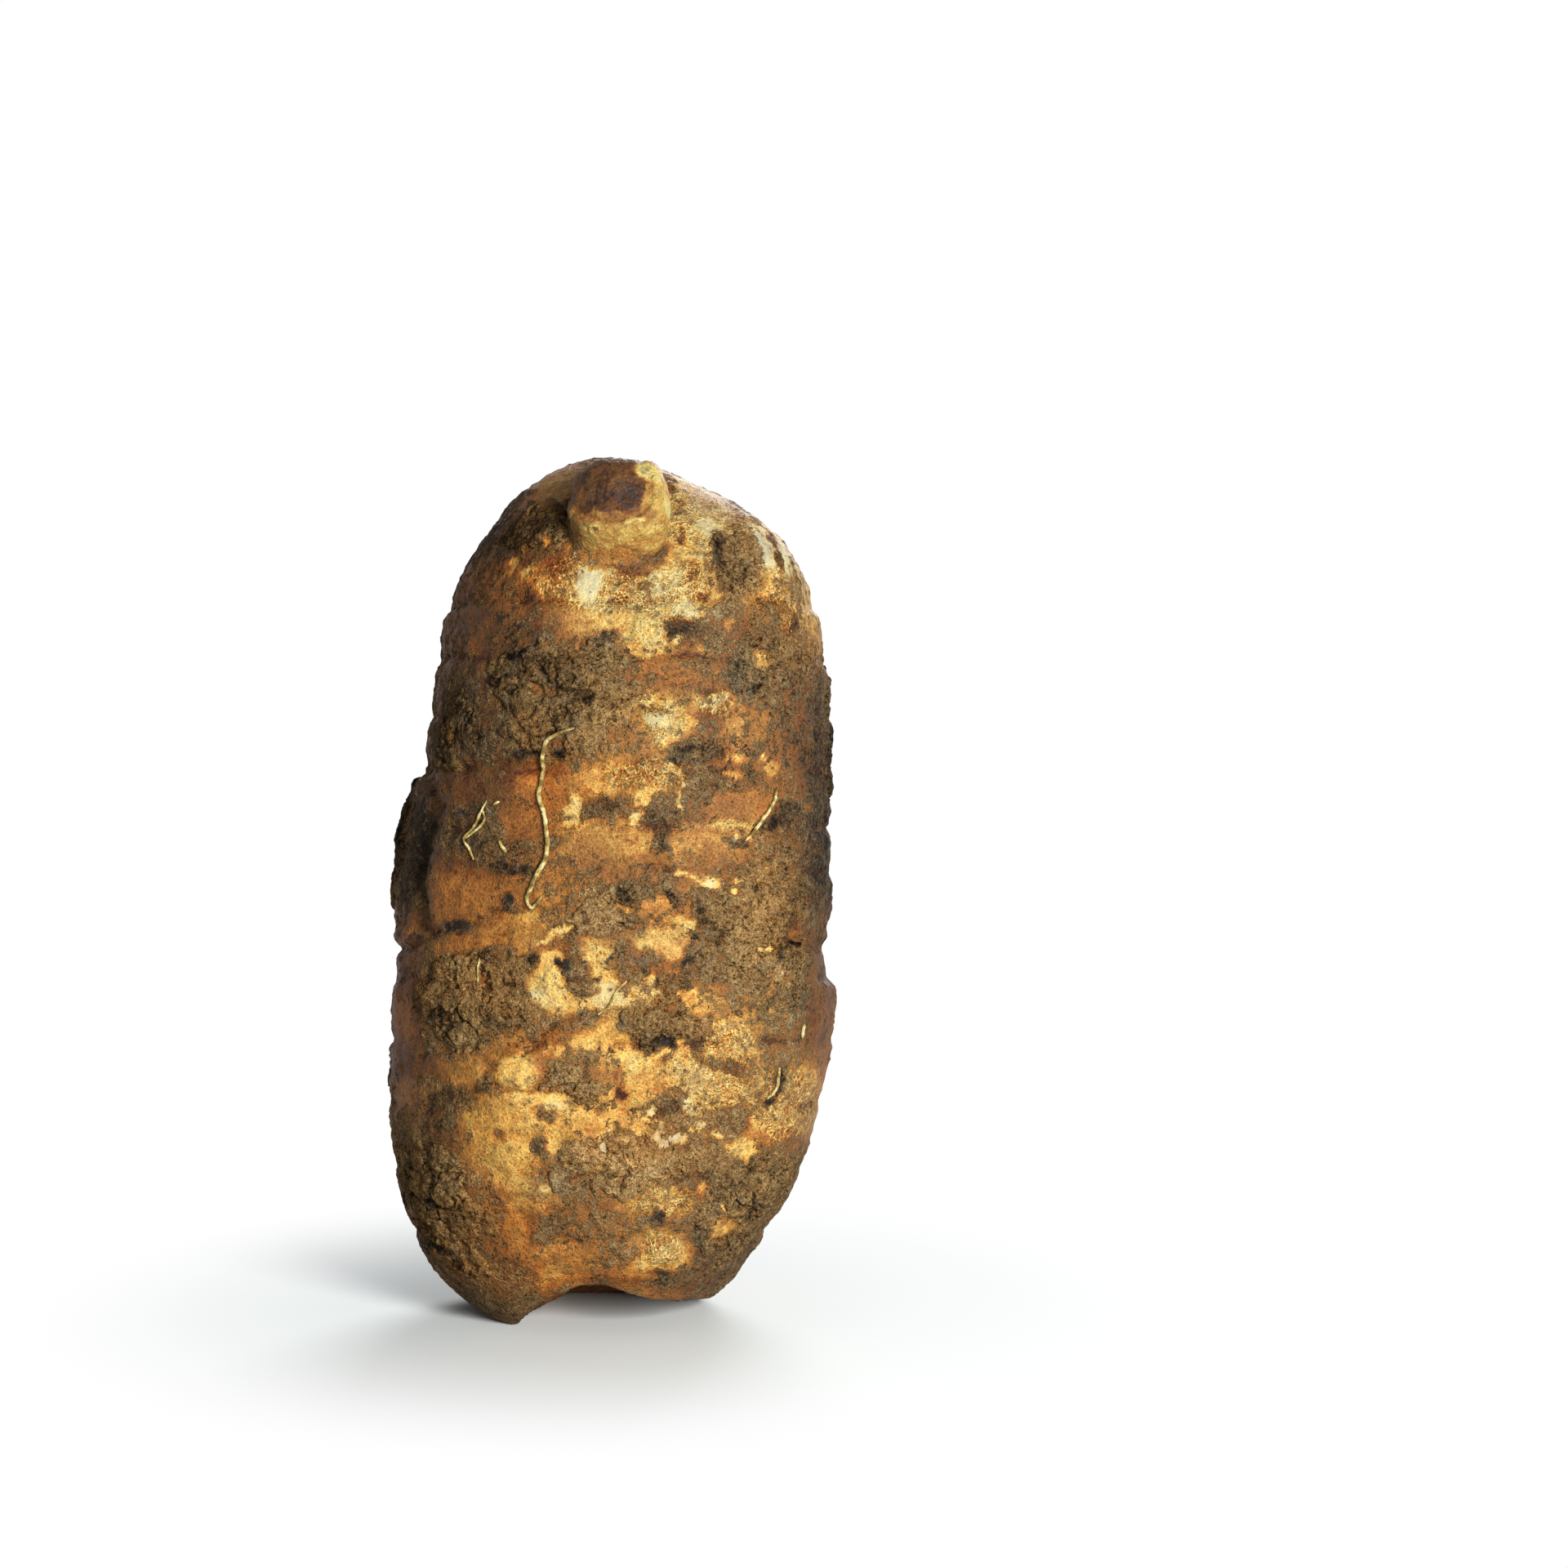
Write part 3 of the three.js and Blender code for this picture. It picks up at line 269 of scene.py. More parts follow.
# Areas where the colours are paler or darker, and warmer or cooler, than the patches make them:
# centre x and z, half-width, half-height, turn, how much paler and how much warmer
WASHES = [
    # crown and shoulders
    (12, 111, 4, 6, 0, 0.04, -0.4), (4, 110, 9, 6, 0, 0, -0.5), (-11, 109, 6, 6, 0, -0.1, 0),
    (-11, 109, 4, 3, 0, -0.15, 0.1), (21, 108, 6, 4, -50, 0.08, -0.3),
    (20, 107.5, 2, 3.5, 0, 0.22, 0), (-13, 107, 7, 8, 0, 0, 0.5), (10, 106, 3, 4, 0, -0.09, 0),
    (20.5, 104.5, 2, 2, 0, -0.1, 0), (9, 104, 4, 6, 0, -0.07, 0), (-8, 103, 4, 4, 0, 0, 0.6),
    (8.5, 103, 2, 3, 0, 0, -0.9), (26, 103, 2, 4, 0, 0.12, 0.2), (26, 103, 3, 6, 10, 0.06, -0.4),
    (-17, 102, 5, 4, 0, 0, 0.6), (-14.5, 102, 4, 2.5, 0, 0.12, 0.6), (3, 99, 11, 6, 0, 0, -0.6),
    # painted shade: the second wash on the next line darkens the broad band under the crown, as a
    # lower lamp would leave it
    (16, 98.5, 3.5, 4, 0, -0.08, -0.3), (1, 98, 14, 5, 0, -0.04, 0), (-9, 97, 5, 2.5, 0, -0.08, 0),
    (-8, 97, 9, 3, 0, -0.03, 0), (-5, 97, 16, 2.5, 0, -0.06, -0.7),
    (-20, 95, 8, 20, 0, -0.04, -0.2),
    # chest
    (14, 91, 4, 6, 0, 0, -0.6), (16, 88, 3, 8, 0, 0, -0.6), (11, 86, 5, 3, 0, -0.08, 0),
    (3, 85, 4, 4, 0, 0.04, 0.4), (21, 84, 5, 10, 0, -0.05, -0.7), (22, 84, 4, 5, 0, 0.04, 0),
    (12, 83, 2.5, 3, 0, -0.08, 0), (-17, 82, 9, 16, 0, -0.1, 0), (4, 81, 2, 2, 0, 0, -0.6),
    # painted shade: the first wash on the next line darkens the upper left broadly, as a lower lamp
    # would leave it
    (8, 81, 4, 1.5, 0, -0.05, 0), (-17, 80, 10, 20, 0, -0.03, 0), (-16, 80, 6, 9, 0, -0.03, 0),
    (9, 80, 5, 8, 0, -0.07, -0.7),
    # middle
    (5.5, 78.5, 4, 2, 0, -0.12, -0.3), (17, 78, 6, 7, 0, 0.05, 0), (-10, 77, 4, 2, 0, 0, 0.3),
    (-9, 75.5, 3, 3, 0, 0.06, 0), (-10, 75, 4, 6, 0, 0.03, 0.8), (-15, 73, 5, 4, 0, 0, -0.7),
    # painted shadow: the last wash on the next line darkens and cools the right edge, for the shade
    # that a second tuber standing against this one casts there
    (2, 72, 3, 2, 0, 0.13, 0), (16, 70.5, 7, 2.5, 0, -0.06, -0.8), (30, 70, 4, 26, 0, -0.22, -0.6),
    (22.5, 69.5, 2, 2.5, 0, 0, 0.9), (13, 68, 8, 6, 0, 0, -0.4), (-22, 67, 4, 4, 0, -0.05, 0),
    (7.5, 67, 2, 4, 0, 0.12, 0), (-3, 66, 5, 2, 0, -0.03, -0.4), (0, 66, 6, 3, 0, -0.06, -0.7),
    (-22, 65, 2, 2.5, 0, -0.04, -0.6), (-20, 65, 4, 3, 0, -0.1, 0), (-5, 65, 5, 4, 0, 0, -0.3),
    (14, 65, 4, 2.5, 0, 0, -0.4), (15, 65, 4, 2, 0, 0, -0.5), (22, 65, 3, 5, 0, 0.14, 0),
    (-15, 64, 5, 3, 0, 0, 0.4),
    # waist
    (7, 61, 7, 3, 0, 0, -0.7), (-7, 58.5, 4, 5, 0, 0.07, 0), (26, 58.5, 2.5, 1.5, 0, -0.12, 0),
    (-8, 58, 8, 4, 0, 0.06, 0.2), (22, 58, 5, 8, 0, 0.04, 0.4), (8, 57, 6, 2.5, 0, 0.05, 0.5),
    (15.5, 56, 3, 3, 0, 0.07, 0), (7, 54, 7, 4, 0, -0.05, -0.9), (-10, 53, 2.5, 1.5, 0, 0, -0.8),
    (-3, 52.5, 2.5, 1.5, 0, -0.08, 0),
    # belly
    (-2, 51, 5, 2.5, 0, 0, -0.4), (0, 50.5, 5, 3, 0, 0, -0.3), (-3, 47.5, 1.5, 1.8, 0, 0.2, 0),
    (-20, 47, 6, 4, 0, 0.02, 0.4), (-10, 47, 3, 5, 0, 0.06, 0), (2.8, 46.5, 1.5, 1.5, 0, -0.1, 0),
    (-29.5, 46, 2.5, 12, 0, -0.16, -0.3), (-15, 46, 4, 4, 0, 0, 0.4),
    (-8, 46, 3, 3.5, 0, 0.03, 0.1), (15, 45, 3, 2.5, 0, 0, -0.9), (29.5, 45, 3, 9, 0, -0.08, -0.1),
    (22, 44.5, 3, 5, 0, 0.13, -0.3), (-28.5, 44, 3, 8, 0, 0.04, 0.5), (11, 44, 6, 4, 0, 0.05, 0.4),
    (29, 44, 3, 10, 0, 0, -0.8),
    # hips
    (-12, 39, 4, 2, 0, 0.08, 0), (-1, 37, 4, 2, 0, 0.07, 0.1), (23, 37, 4, 4, 0, -0.03, -0.7),
    (-27, 36.5, 4, 3, 0, -0.1, -0.8), (25, 36, 4, 6, 0, -0.05, -0.5), (4, 34.5, 5, 2, 0, 0, -0.6),
    # painted light: the first wash on the next line makes the whole lower middle paler, as a lower
    # lamp would light it
    (0, 34, 30, 14, 0, 0.03, 0), (6, 34, 3, 3, 0, -0.12, 0), (12.3, 34, 3, 1.5, 0, 0.08, -0.1),
    (-21, 32, 5, 2.5, 0, 0.06, 0.6), (-22, 31, 4, 3, 0, 0.06, 0), (-27, 30, 3, 28, 0, 0, 0.3),
    (-7, 29.5, 5, 3, 0, 0.08, 0.4), (9.5, 29, 2.5, 3, 0, 0.17, 0), (9, 28, 5, 3, 0, 0.05, 0),
    (-3, 27, 3.5, 2, 0, -0.18, -0.8), (27.5, 26, 3, 5, 0, -0.12, -0.6),
    (4, 25.5, 9, 4, 0, 0.1, 0.6), (-17, 25, 2.5, 2.5, 0, 0, 0.6), (0, 25, 12, 4, 0, 0.05, 0.1),
    (22, 24.5, 5, 1.5, 0, -0.12, 0), (2, 23, 4, 3, 0, 0.22, 0), (-18, 22, 2, 4, 30, 0, -0.6),
    (10, 21.5, 3, 2.5, 0, 0.13, 0),
    # foot
    (-9, 18, 5, 3, 0, 0, -0.8), (-28, 14, 3, 6, 0, -0.12, 0.3), (-15, 14, 7, 4, 0, 0.05, 0.6),
    (-5, 14, 5, 4, 0, 0.03, 0), (6, 12.5, 7, 2.5, 0, 0, -0.7), (8, 11.5, 4, 2, 0, 0, -0.4),
    (0, 11, 4, 3, 0, 0.04, 0.1), (1, 11, 2.5, 2, 0, 0.09, 0), (10, 11, 4, 3, 0, -0.03, -0.3),
    (-22, 8, 6, 5, 0, 0, 0.5), (-15, 7, 6, 2, 0, 0, 0.9), (-7.5, 5.5, 2, 1.5, 0, 0, -0.8),
    (-12, 5, 5, 3, 0, 0.05, 0.7), (-3, 5, 8, 2, 0, 0.06, 0.5), (-3, 3, 7, 1, 0, 0, 0.8),
    # painted shade: the wash on the next line darkens the front edge of the base, where shade falls
    # under the arch
    (3, 3, 9, 1, 0, -0.08, -0.2),
]

# The same columns as in DETAILS, for the bud
BUD_PAINT = [
    # the pale sheath
    (1.9, 109.3, 7, 2.3, 0, 0, 0.58), (1, 105.8, 8, 1.5, 0, 0.25, 0.5),
    # painted shade: the first patch on the next line is a darker strip down the sheath's left edge,
    # beside the shaded groove
    (-4.6, 109.5, 0.7, 2, 0, 0.3, 0.44),
    # the brown cap and its darker parts
    (-0.2, 115.8, 5.8, 4.1, 0, 0.1, 0.22), (-3.9, 114.2, 0.7, 2, 0, 0.1, 0.38),
    (-1.6, 115.8, 2.1, 3.2, 0, 0.1, 0.1), (0.5, 119.3, 3.6, 1.4, 0, 0.15, 0.18),
    (2.6, 115.6, 2.4, 2.2, 0, 0.1, 0.2), (0.5, 112.2, 4.2, 0.6, 0, 0.15, 0.4),
    (5.4, 114.8, 0.6, 1.8, 0, 0.05, 0.5),
    # the sheath's pale rim, with a painted highlight along its lower edge
    (7.4, 115, 1.7, 4.6, 8, 0, 0.58), (5.9, 118.3, 2.2, 1.2, -15, 0, 0.72),
    # painted highlight: the second patch on the next line, a thin pale line along the sheath's
    # lower rim, stands for light glinting there
    (8.5, 113.4, 0.5, 1.5, 8, 0, 0.76), (3.7, 111.5, 1.3, 0.25, 5, 0, 0.76),
    (6.4, 110.4, 1.5, 0.7, 20, 0, 0.62),
]

# Dark marks on the bud: centre x and z, half-width, half-height, turn and how dark
BUD_SPOTS = [
    (-1.8, 110.2, 0.3, 0.25, 0, 1), (6.9, 111.3, 0.8, 0.25, 25, 0.7),
    (2.6, 115.6, 2.2, 2.1, 0, 0.62),
]

# Where the skin is gritty or comes off in flakes: centre x and z, half-width, half-height and turn
GRITTY = [
    (14.5, 111.5, 6, 5, -30), (3, 101.5, 12, 3, 0), (9.5, 97.5, 4, 1.5, 0), (-7, 104, 4, 2.5, 40),
    (25, 101, 2.5, 8, 8), (12.5, 103.5, 3, 3, 0), (17, 39, 4, 3, 0), (14.5, 33.5, 7, 3.5, -5),
    (11, 29.5, 5, 2.5, 0), (24, 30, 5, 5, 30), (0, 44.5, 3, 2.5, -20), (5.5, 45.5, 2.5, 2, -30),
    (6.5, 23.5, 8, 3, 0), (8, 16.5, 4, 2, 0), (6, 76, 6, 2, 0), (15, 86.5, 2.5, 2, -20),
    (7.5, 83.5, 3, 3, 20), (7, 9.5, 3, 2.5, 0),
]

# Blue-black spots, with the same columns
SPOTS = [
    (-6.3, 49.2, 1.4, 0.8, -20), (-3, 49.2, 0.5, 0.4, 0), (0.9, 50.1, 0.5, 0.9, 0),
    (7.6, 38.7, 1.1, 0.9, -20), (11, 50.3, 0.7, 0.6, 0), (25.3, 52.4, 0.9, 0.6, 0),
    (-6.7, 78.7, 1.4, 0.6, 0), (-20.5, 70.5, 0.9, 0.7, 0), (-13.5, 58.3, 0.6, 0.7, 0),
    (-21.1, 54.8, 1.6, 0.8, 10), (1.5, 86.4, 0.7, 0.7, 0), (8.6, 59.2, 1.7, 0.6, -45),
    (16.4, 77.2, 0.5, 0.5, 0), (11.1, 95.8, 0.9, 0.7, 0), (7.3, 14.4, 0.9, 0.6, 0),
    (0.5, 27.3, 0.6, 0.6, 0), (0.6, 35.9, 0.9, 1.1, 0), (-23.7, 71.1, 0.6, 1.3, 0),
    (-27.7, 53.1, 1.6, 0.8, 10),
]

# Dark red-brown lines, where scale leaves broke off and where the soil has split, and last a
# painted shadow under a small scale beside the bud: points x and z
SEAMS_AND_SHADOW = [
    [(-12.3, 36.9), (-10.6, 38), (-8.6, 39.4), (-7, 41), (-5, 41.6)],
    [(-12.3, 76.9), (-10, 77.2), (-7.8, 77.8), (-5.5, 78.7)],
    [(-25.3, 53.6), (-22, 54.3), (-18, 55.6), (-14, 57)],
    [(-19.5, 63.7), (-17.4, 63.1), (-15.3, 62.6)],
    [(-26.1, 36.7), (-23, 37.2), (-20.6, 37.7)],
    [(2.2, 34.2), (2.7, 33), (2.5, 31.4)],
    [(29.3, 51.9), (25.9, 53), (23, 52.8), (20.8, 52.1)],
    [(14.5, 49.9), (15.6, 48.6), (17.3, 48.4), (18.8, 48.9)],
    [(13.1, 76.2), (14.5, 76.1), (15.3, 77.2)],
    [(-17.8, 18.4), (-15, 16.1)],
    [(-23.8, 10.6), (-21.5, 9.6), (-19.4, 9)],
    [(14, 18.5), (16.5, 18.8), (19, 18.3)],
    [(13.8, 17.5), (12.9, 15.4), (13.2, 13.2)],
    [(7.9, 118.2), (8.8, 116), (9.4, 113.6)],
    [(8.6, 110.6), (9, 108.9)],
    # painted shadow: the line under the small triangular scale right of the bud
    [(8.3, 108.5), (10.6, 108.7)],
]

# Lines where the surface folds in: depth, half-width, points x and z
CREASES = [
    # round the front of the side lobe
    (1.3, 0.9, [(-26.4, 79), (-24.9, 75.5), (-24.1, 71.8), (-25.2, 68), (-26.2, 63), (-26.4, 58),
                (-26.2, 54.5)]),
    (1.2, 0.8, [(-31, 51.6), (-28.6, 51.8), (-26, 53), (-24.6, 54)]),
    (1, 0.7, [(-24.6, 73), (-23.9, 71), (-24.3, 69.6)]),
    # the flank notch
    (0.8, 0.9, [(31, 51.8), (27.5, 53), (24.5, 52.6)]),
    # across the chest, the waist and the belly
    (0.5, 0.6, [(-23, 76.5), (-17, 77.6), (-9, 77.4), (-4, 79)]),
    (0.5, 0.7, [(-25, 54.3), (-20, 55), (-14, 56.6), (-6, 58.6)]),
    (0.4, 0.6, [(-26, 36.9), (-20, 37.9), (-15.5, 37.9)]),
    (0.6, 0.5, [(-13, 36.2), (-10.6, 38), (-8.6, 39.4), (-7, 41), (-5, 41.6)]),
]

# Places that stand out: height, centre x and z, half-width, half-height and turn
BUMPS = [
    (0.9, -12.9, 34.5, 3.4, 2.9, 0), (0.5, -7, 46.7, 2.5, 2.5, 0), (0.5, 7.5, 83.6, 2.6, 2, 0),
    (0.4, 7.5, 9, 3, 2, 0), (0.5, -13.8, 22.8, 2.8, 2.6, 0), (0.5, 5.6, 96.5, 2.4, 2.6, 0),
]

# The front edge of the base, which arches over the floor: points x and z
ARCH = [
    (-14, 0), (-12, 0.2), (-10.5, 0.3), (-9.5, 0.6), (-8, 1.2), (-6.5, 1.9), (-5, 2.7), (-3, 3.4),
    (0, 3.5), (3, 2.4), (6, 1.8), (9, 1.4), (14, 0.8),
]

# Heights, at the front, of the rings where scale leaves sat
RINGS = [14.5, 23.8, 32.9, 41.8, 50.5, 57.8, 65.6, 71.5, 79.3, 87.2, 94.9, 102.4]
RING_TILT = 0.12  # the rings run lower towards the back
FRONT_Y = -25  # where the front of the tuber lies

# Rootlets: thickness, then strands of points x and z
ROOTLETS = {
    "rootlet_long": (0.62, [
        [(-4.9, 82.6), (-6.9, 81.9), (-8.6, 80.7), (-9.2, 78.6), (-9.1, 76.4), (-9.7, 73),
         (-9, 70.6), (-8.6, 67.4), (-8.9, 64), (-10.3, 61.6), (-11.2, 59.4), (-11.3, 58.1),
         (-10.7, 57.4), (-10, 58), (-9.4, 58.9)],
    ]),
    "rootlet_tangle_left": (0.38, [
        [(-17, 72.4), (-17.9, 70.7), (-18.8, 68.7), (-20.2, 67), (-19.4, 65.7), (-18.8, 64.2)],
        [(-17.6, 71.3), (-17.3, 69.6), (-18.3, 68.4), (-20.2, 67)],
    ]),
    "rootlet_right": (0.5, [[(23.6, 74.2), (23.1, 72), (21.2, 69.2), (19.2, 66.8)]]),
    "rootlet_centre": (0.3, [[(2.6, 47.2), (1.1, 45.7), (0, 43.6), (-1.5, 42.5)]]),
    "rootlet_lower_right": (0.45, [[(23.9, 35), (23.6, 32.4), (22.3, 30.7)]]),
    "rootlet_waist_left": (0.28, [[(-18, 50.4), (-18.3, 48.6), (-18.2, 47)]]),
    "straw_left": (0.55, [[(-15.3, 66.8), (-14.4, 65.2)]]),
    "leaf_scrap": (0.42, [[(-16.2, 71.8), (-15.2, 72.2)]]),
    "straw_right": (0.5, [[(27.4, 41.2), (27.1, 39.2)]]),
}


# ---------------------------------------------------------------- small tools
AIM = Vector((24.55, 0, 74.7))  # what the middle of the view looks at
DISTANCE = 600
ELEVATION = math.radians(6)
LENS = 98.6
RIGHT = Vector((1, 0, 0))
AHEAD = Vector((0, math.cos(ELEVATION), -math.sin(ELEVATION)))
UPWARD = Vector((0, math.sin(ELEVATION), math.cos(ELEVATION)))
VIEWER = AIM - DISTANCE * AHEAD
SQUARENESS = 2.5  # the patches' outlines: 2 would make ellipses, and more makes them squarer


def seen(points):
    """Where the viewer in front sees the points, as x and z on the plane through the axis."""
    away = points - np.array(VIEWER)
    scale = DISTANCE / (away @ np.array(AHEAD))
    return AIM.x + scale * (away @ np.array(RIGHT)), AIM.z + scale * (away @ np.array(UPWARD))


def sight(x, z):
    """The direction in which the viewer sees a point of that plane."""
    return (DISTANCE * AHEAD + float(x - AIM.x) * RIGHT + float(z - AIM.z) * UPWARD).normalized()


def clouds(points, size, octaves=3, seed=0):
    """Fractal noise at each point, about -1 to 1, with features of that size."""
    shift = Vector((17.3, 5.1, 9.7)) * seed
    return np.array([noise.fractal(Vector(p) / size + shift, 1.0, 2.0, octaves) for p in points])


def cells(points, size, seed=0):
    """The two smallest distances to the middles of random cells, in cell sizes."""
    shift = Vector((3.7, 11.9, 7.3)) * seed
    near = [noise.voronoi(Vector(p) / size + shift)[0][:2] for p in points]
    return np.array(near).T


def step(low, high, value):
    """0 at low, 1 at high and a smooth rise between them."""
    t = np.clip((value - low) / (high - low), 0, 1)
    return t * t * (3 - 2 * t)


def bell(value, width):
    return np.exp(-((value / width) ** 2))


def rounded(across, up):
    """Distance from the middle that is the same all along a rounded square."""
    return (np.abs(across) ** SQUARENESS + np.abs(up) ** SQUARENESS) ** (1 / SQUARENESS)


def cad_mesh(name):
    """A CAD node's vertices in mm, and its faces."""
    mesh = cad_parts[name].data
    return np.array([v.co for v in mesh.vertices]) / MM, [tuple(p.vertices) for p in mesh.polygons]


def tree_of(points, faces):
    return BVHTree.FromPolygons([Vector(p) for p in points], [list(f) for f in faces])


def edges_of(quads):
    """Each edge of the quads once, as pairs of vertex numbers."""
    pairs = np.vstack([quads[:, [i, (i + 1) % 4]] for i in range(4)])
    return np.unique(np.sort(pairs, axis=1), axis=0)


def spread(values, edges):
    """The mean of each vertex's neighbours."""
    count = np.bincount(edges.ravel(), minlength=len(values))
    total = np.zeros_like(values)
    for column in range(values.shape[1]):
        total[:, column] += np.bincount(edges[:, 0], values[edges[:, 1], column], len(values))
        total[:, column] += np.bincount(edges[:, 1], values[edges[:, 0], column], len(values))
    return total / count[:, None]


def smooth(points, edges, rounds, keep_size=True):
    """Relaxed points. With keep_size, each pull inwards is followed by one outwards."""
    for _ in range(rounds):
        points = points + 0.5 * (spread(points, edges) - points)
        if keep_size:
            points = points - 0.52 * (spread(points, edges) - points)
    return points


def normals_of(points, faces):
    """Outward unit normals at the vertices of quads."""
    a, b, c, d = (points[faces[:, i]] for i in range(4))
    face_normals = np.cross(c - a, d - b)
    total = np.zeros_like(points)
    for corner in range(4):
        for column in range(3):
            share = face_normals[:, column]
            total[:, column] += np.bincount(faces[:, corner], share, len(points))
    return total / np.maximum(np.linalg.norm(total, axis=1), 1e-9)[:, None]


def make_object(name, points, faces, material, slot, **fields):
    """A smooth-shaded object of those points in mm, with a number at each vertex for each field."""
    mesh = bpy.data.meshes.new(name)
    mesh.from_pydata((points * MM).tolist(), [], [list(f) for f in faces])
    for field, values in fields.items():
        attribute = mesh.attributes.new(field, "FLOAT", "POINT")
        attribute.data.foreach_set("value", np.asarray(values, dtype=np.float32))
    mesh.shade_smooth()
    mesh.materials.append(material)
    piece = bpy.data.objects.new(name, mesh)
    bpy.context.scene.collection.objects.link(piece)
    if slot:
        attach(piece, "root")
    return piece


def curve_through(points, spacing):
    """Evenly spaced points on a smooth curve through the given ones."""
    points = np.array(points, float)
    ends = np.vstack([2 * points[0] - points[1], points, 2 * points[-1] - points[-2]])
    fine = []
    for a, b, c, d in zip(ends, ends[1:], ends[2:], ends[3:]):
        for t in np.linspace(0, 1, 12, endpoint=False):
            bend = (2 * a - 5 * b + 4 * c - d) * t * t + (3 * b - a - 3 * c + d) * t**3
            fine.append(0.5 * (2 * b + (c - a) * t + bend))
    fine = np.array(fine + [points[-1]])
    length = np.concatenate([[0], np.cumsum(np.linalg.norm(np.diff(fine, axis=0), axis=1))])
    places = np.linspace(0, length[-1], max(3, int(length[-1] / spacing)))
    return np.column_stack([np.interp(places, length, column) for column in fine.T])


def shell_faces(around, rings, start=0):
    """Faces of rows of rings, from a middle point outwards, numbered from start."""
    faces = []
    for s in range(around):
        t = (s + 1) % around
        faces.append([start, start + 1 + s, start + 1 + t])
        for r in range(rings - 1):
            low, high = start + 1 + r * around, start + 1 + (r + 1) * around
            faces.append([low + s, high + s, high + t, low + t])
    return faces


# ---------------------------------------------------------------- materials
def linear(*channels):
    """Red, green and blue from 0 to 255 as the eye sees them, as linear light."""
    shares = [c / 255 for c in channels]
    return (*[s / 12.92 if s <= 0.04045 else ((s + 0.055) / 1.055) ** 2.4 for s in shares], 1)


# Colours along a value from 0 to 1: its place, then red, green and blue as the eye sees them
SKIN_COLORS = [
    (0.08, 46, 24, 13), (0.26, 96, 54, 25), (0.4, 138, 85, 38), (0.54, 172, 118, 54),
    (0.66, 200, 157, 78), (0.78, 210, 178, 102), (0.9, 190, 172, 120), (1, 172, 165, 132),
]
SOIL_COLORS = [
    (0.05, 20, 15, 10), (0.28, 68, 53, 34), (0.5, 115, 91, 57), (0.7, 148, 120, 78),
    (0.95, 198, 166, 112),
]
ROOTLET_COLORS = [(0.2, 112, 92, 46), (0.5, 172, 150, 84), (0.8, 222, 205, 152)]
RUST = linear(124, 84, 42)
GRAY_SOIL = linear(84, 76, 62)
SOIL_FILM = linear(112, 74, 36)
SEAM_AND_SHADOW_RED = linear(62, 28, 16)
SPOT_BLACK = linear(34, 32, 34)

# What a colour is multiplied with, as linear light
PLAIN = (1, 1, 1, 1)
COOL = (0.9, 1.03, 1.25, 1)
WARM = (1.14, 0.94, 0.74, 1)
GRAIN_DARK = (0.45, 0.28, 0.15, 1)
GRAIN_PALE = (1.35, 1.5, 1.65, 1)
# painted shade inside the soil's pores
PORE_SHADE = (0.24, 0.19, 0.17, 1)
STAIN = (0.45, 0.27, 0.16, 1)
FLAKE_GAP = (0.5, 0.32, 0.2, 1)
SPECK = (0.34, 0.18, 0.1, 1)
BUD_TINT = (0.88, 0.95, 0.95, 1)

# How far a height of 1 stands out in each material, in mm
SKIN_RELIEF, SOIL_RELIEF, ROOTLET_RELIEF = 0.32, 0.3, 0.06


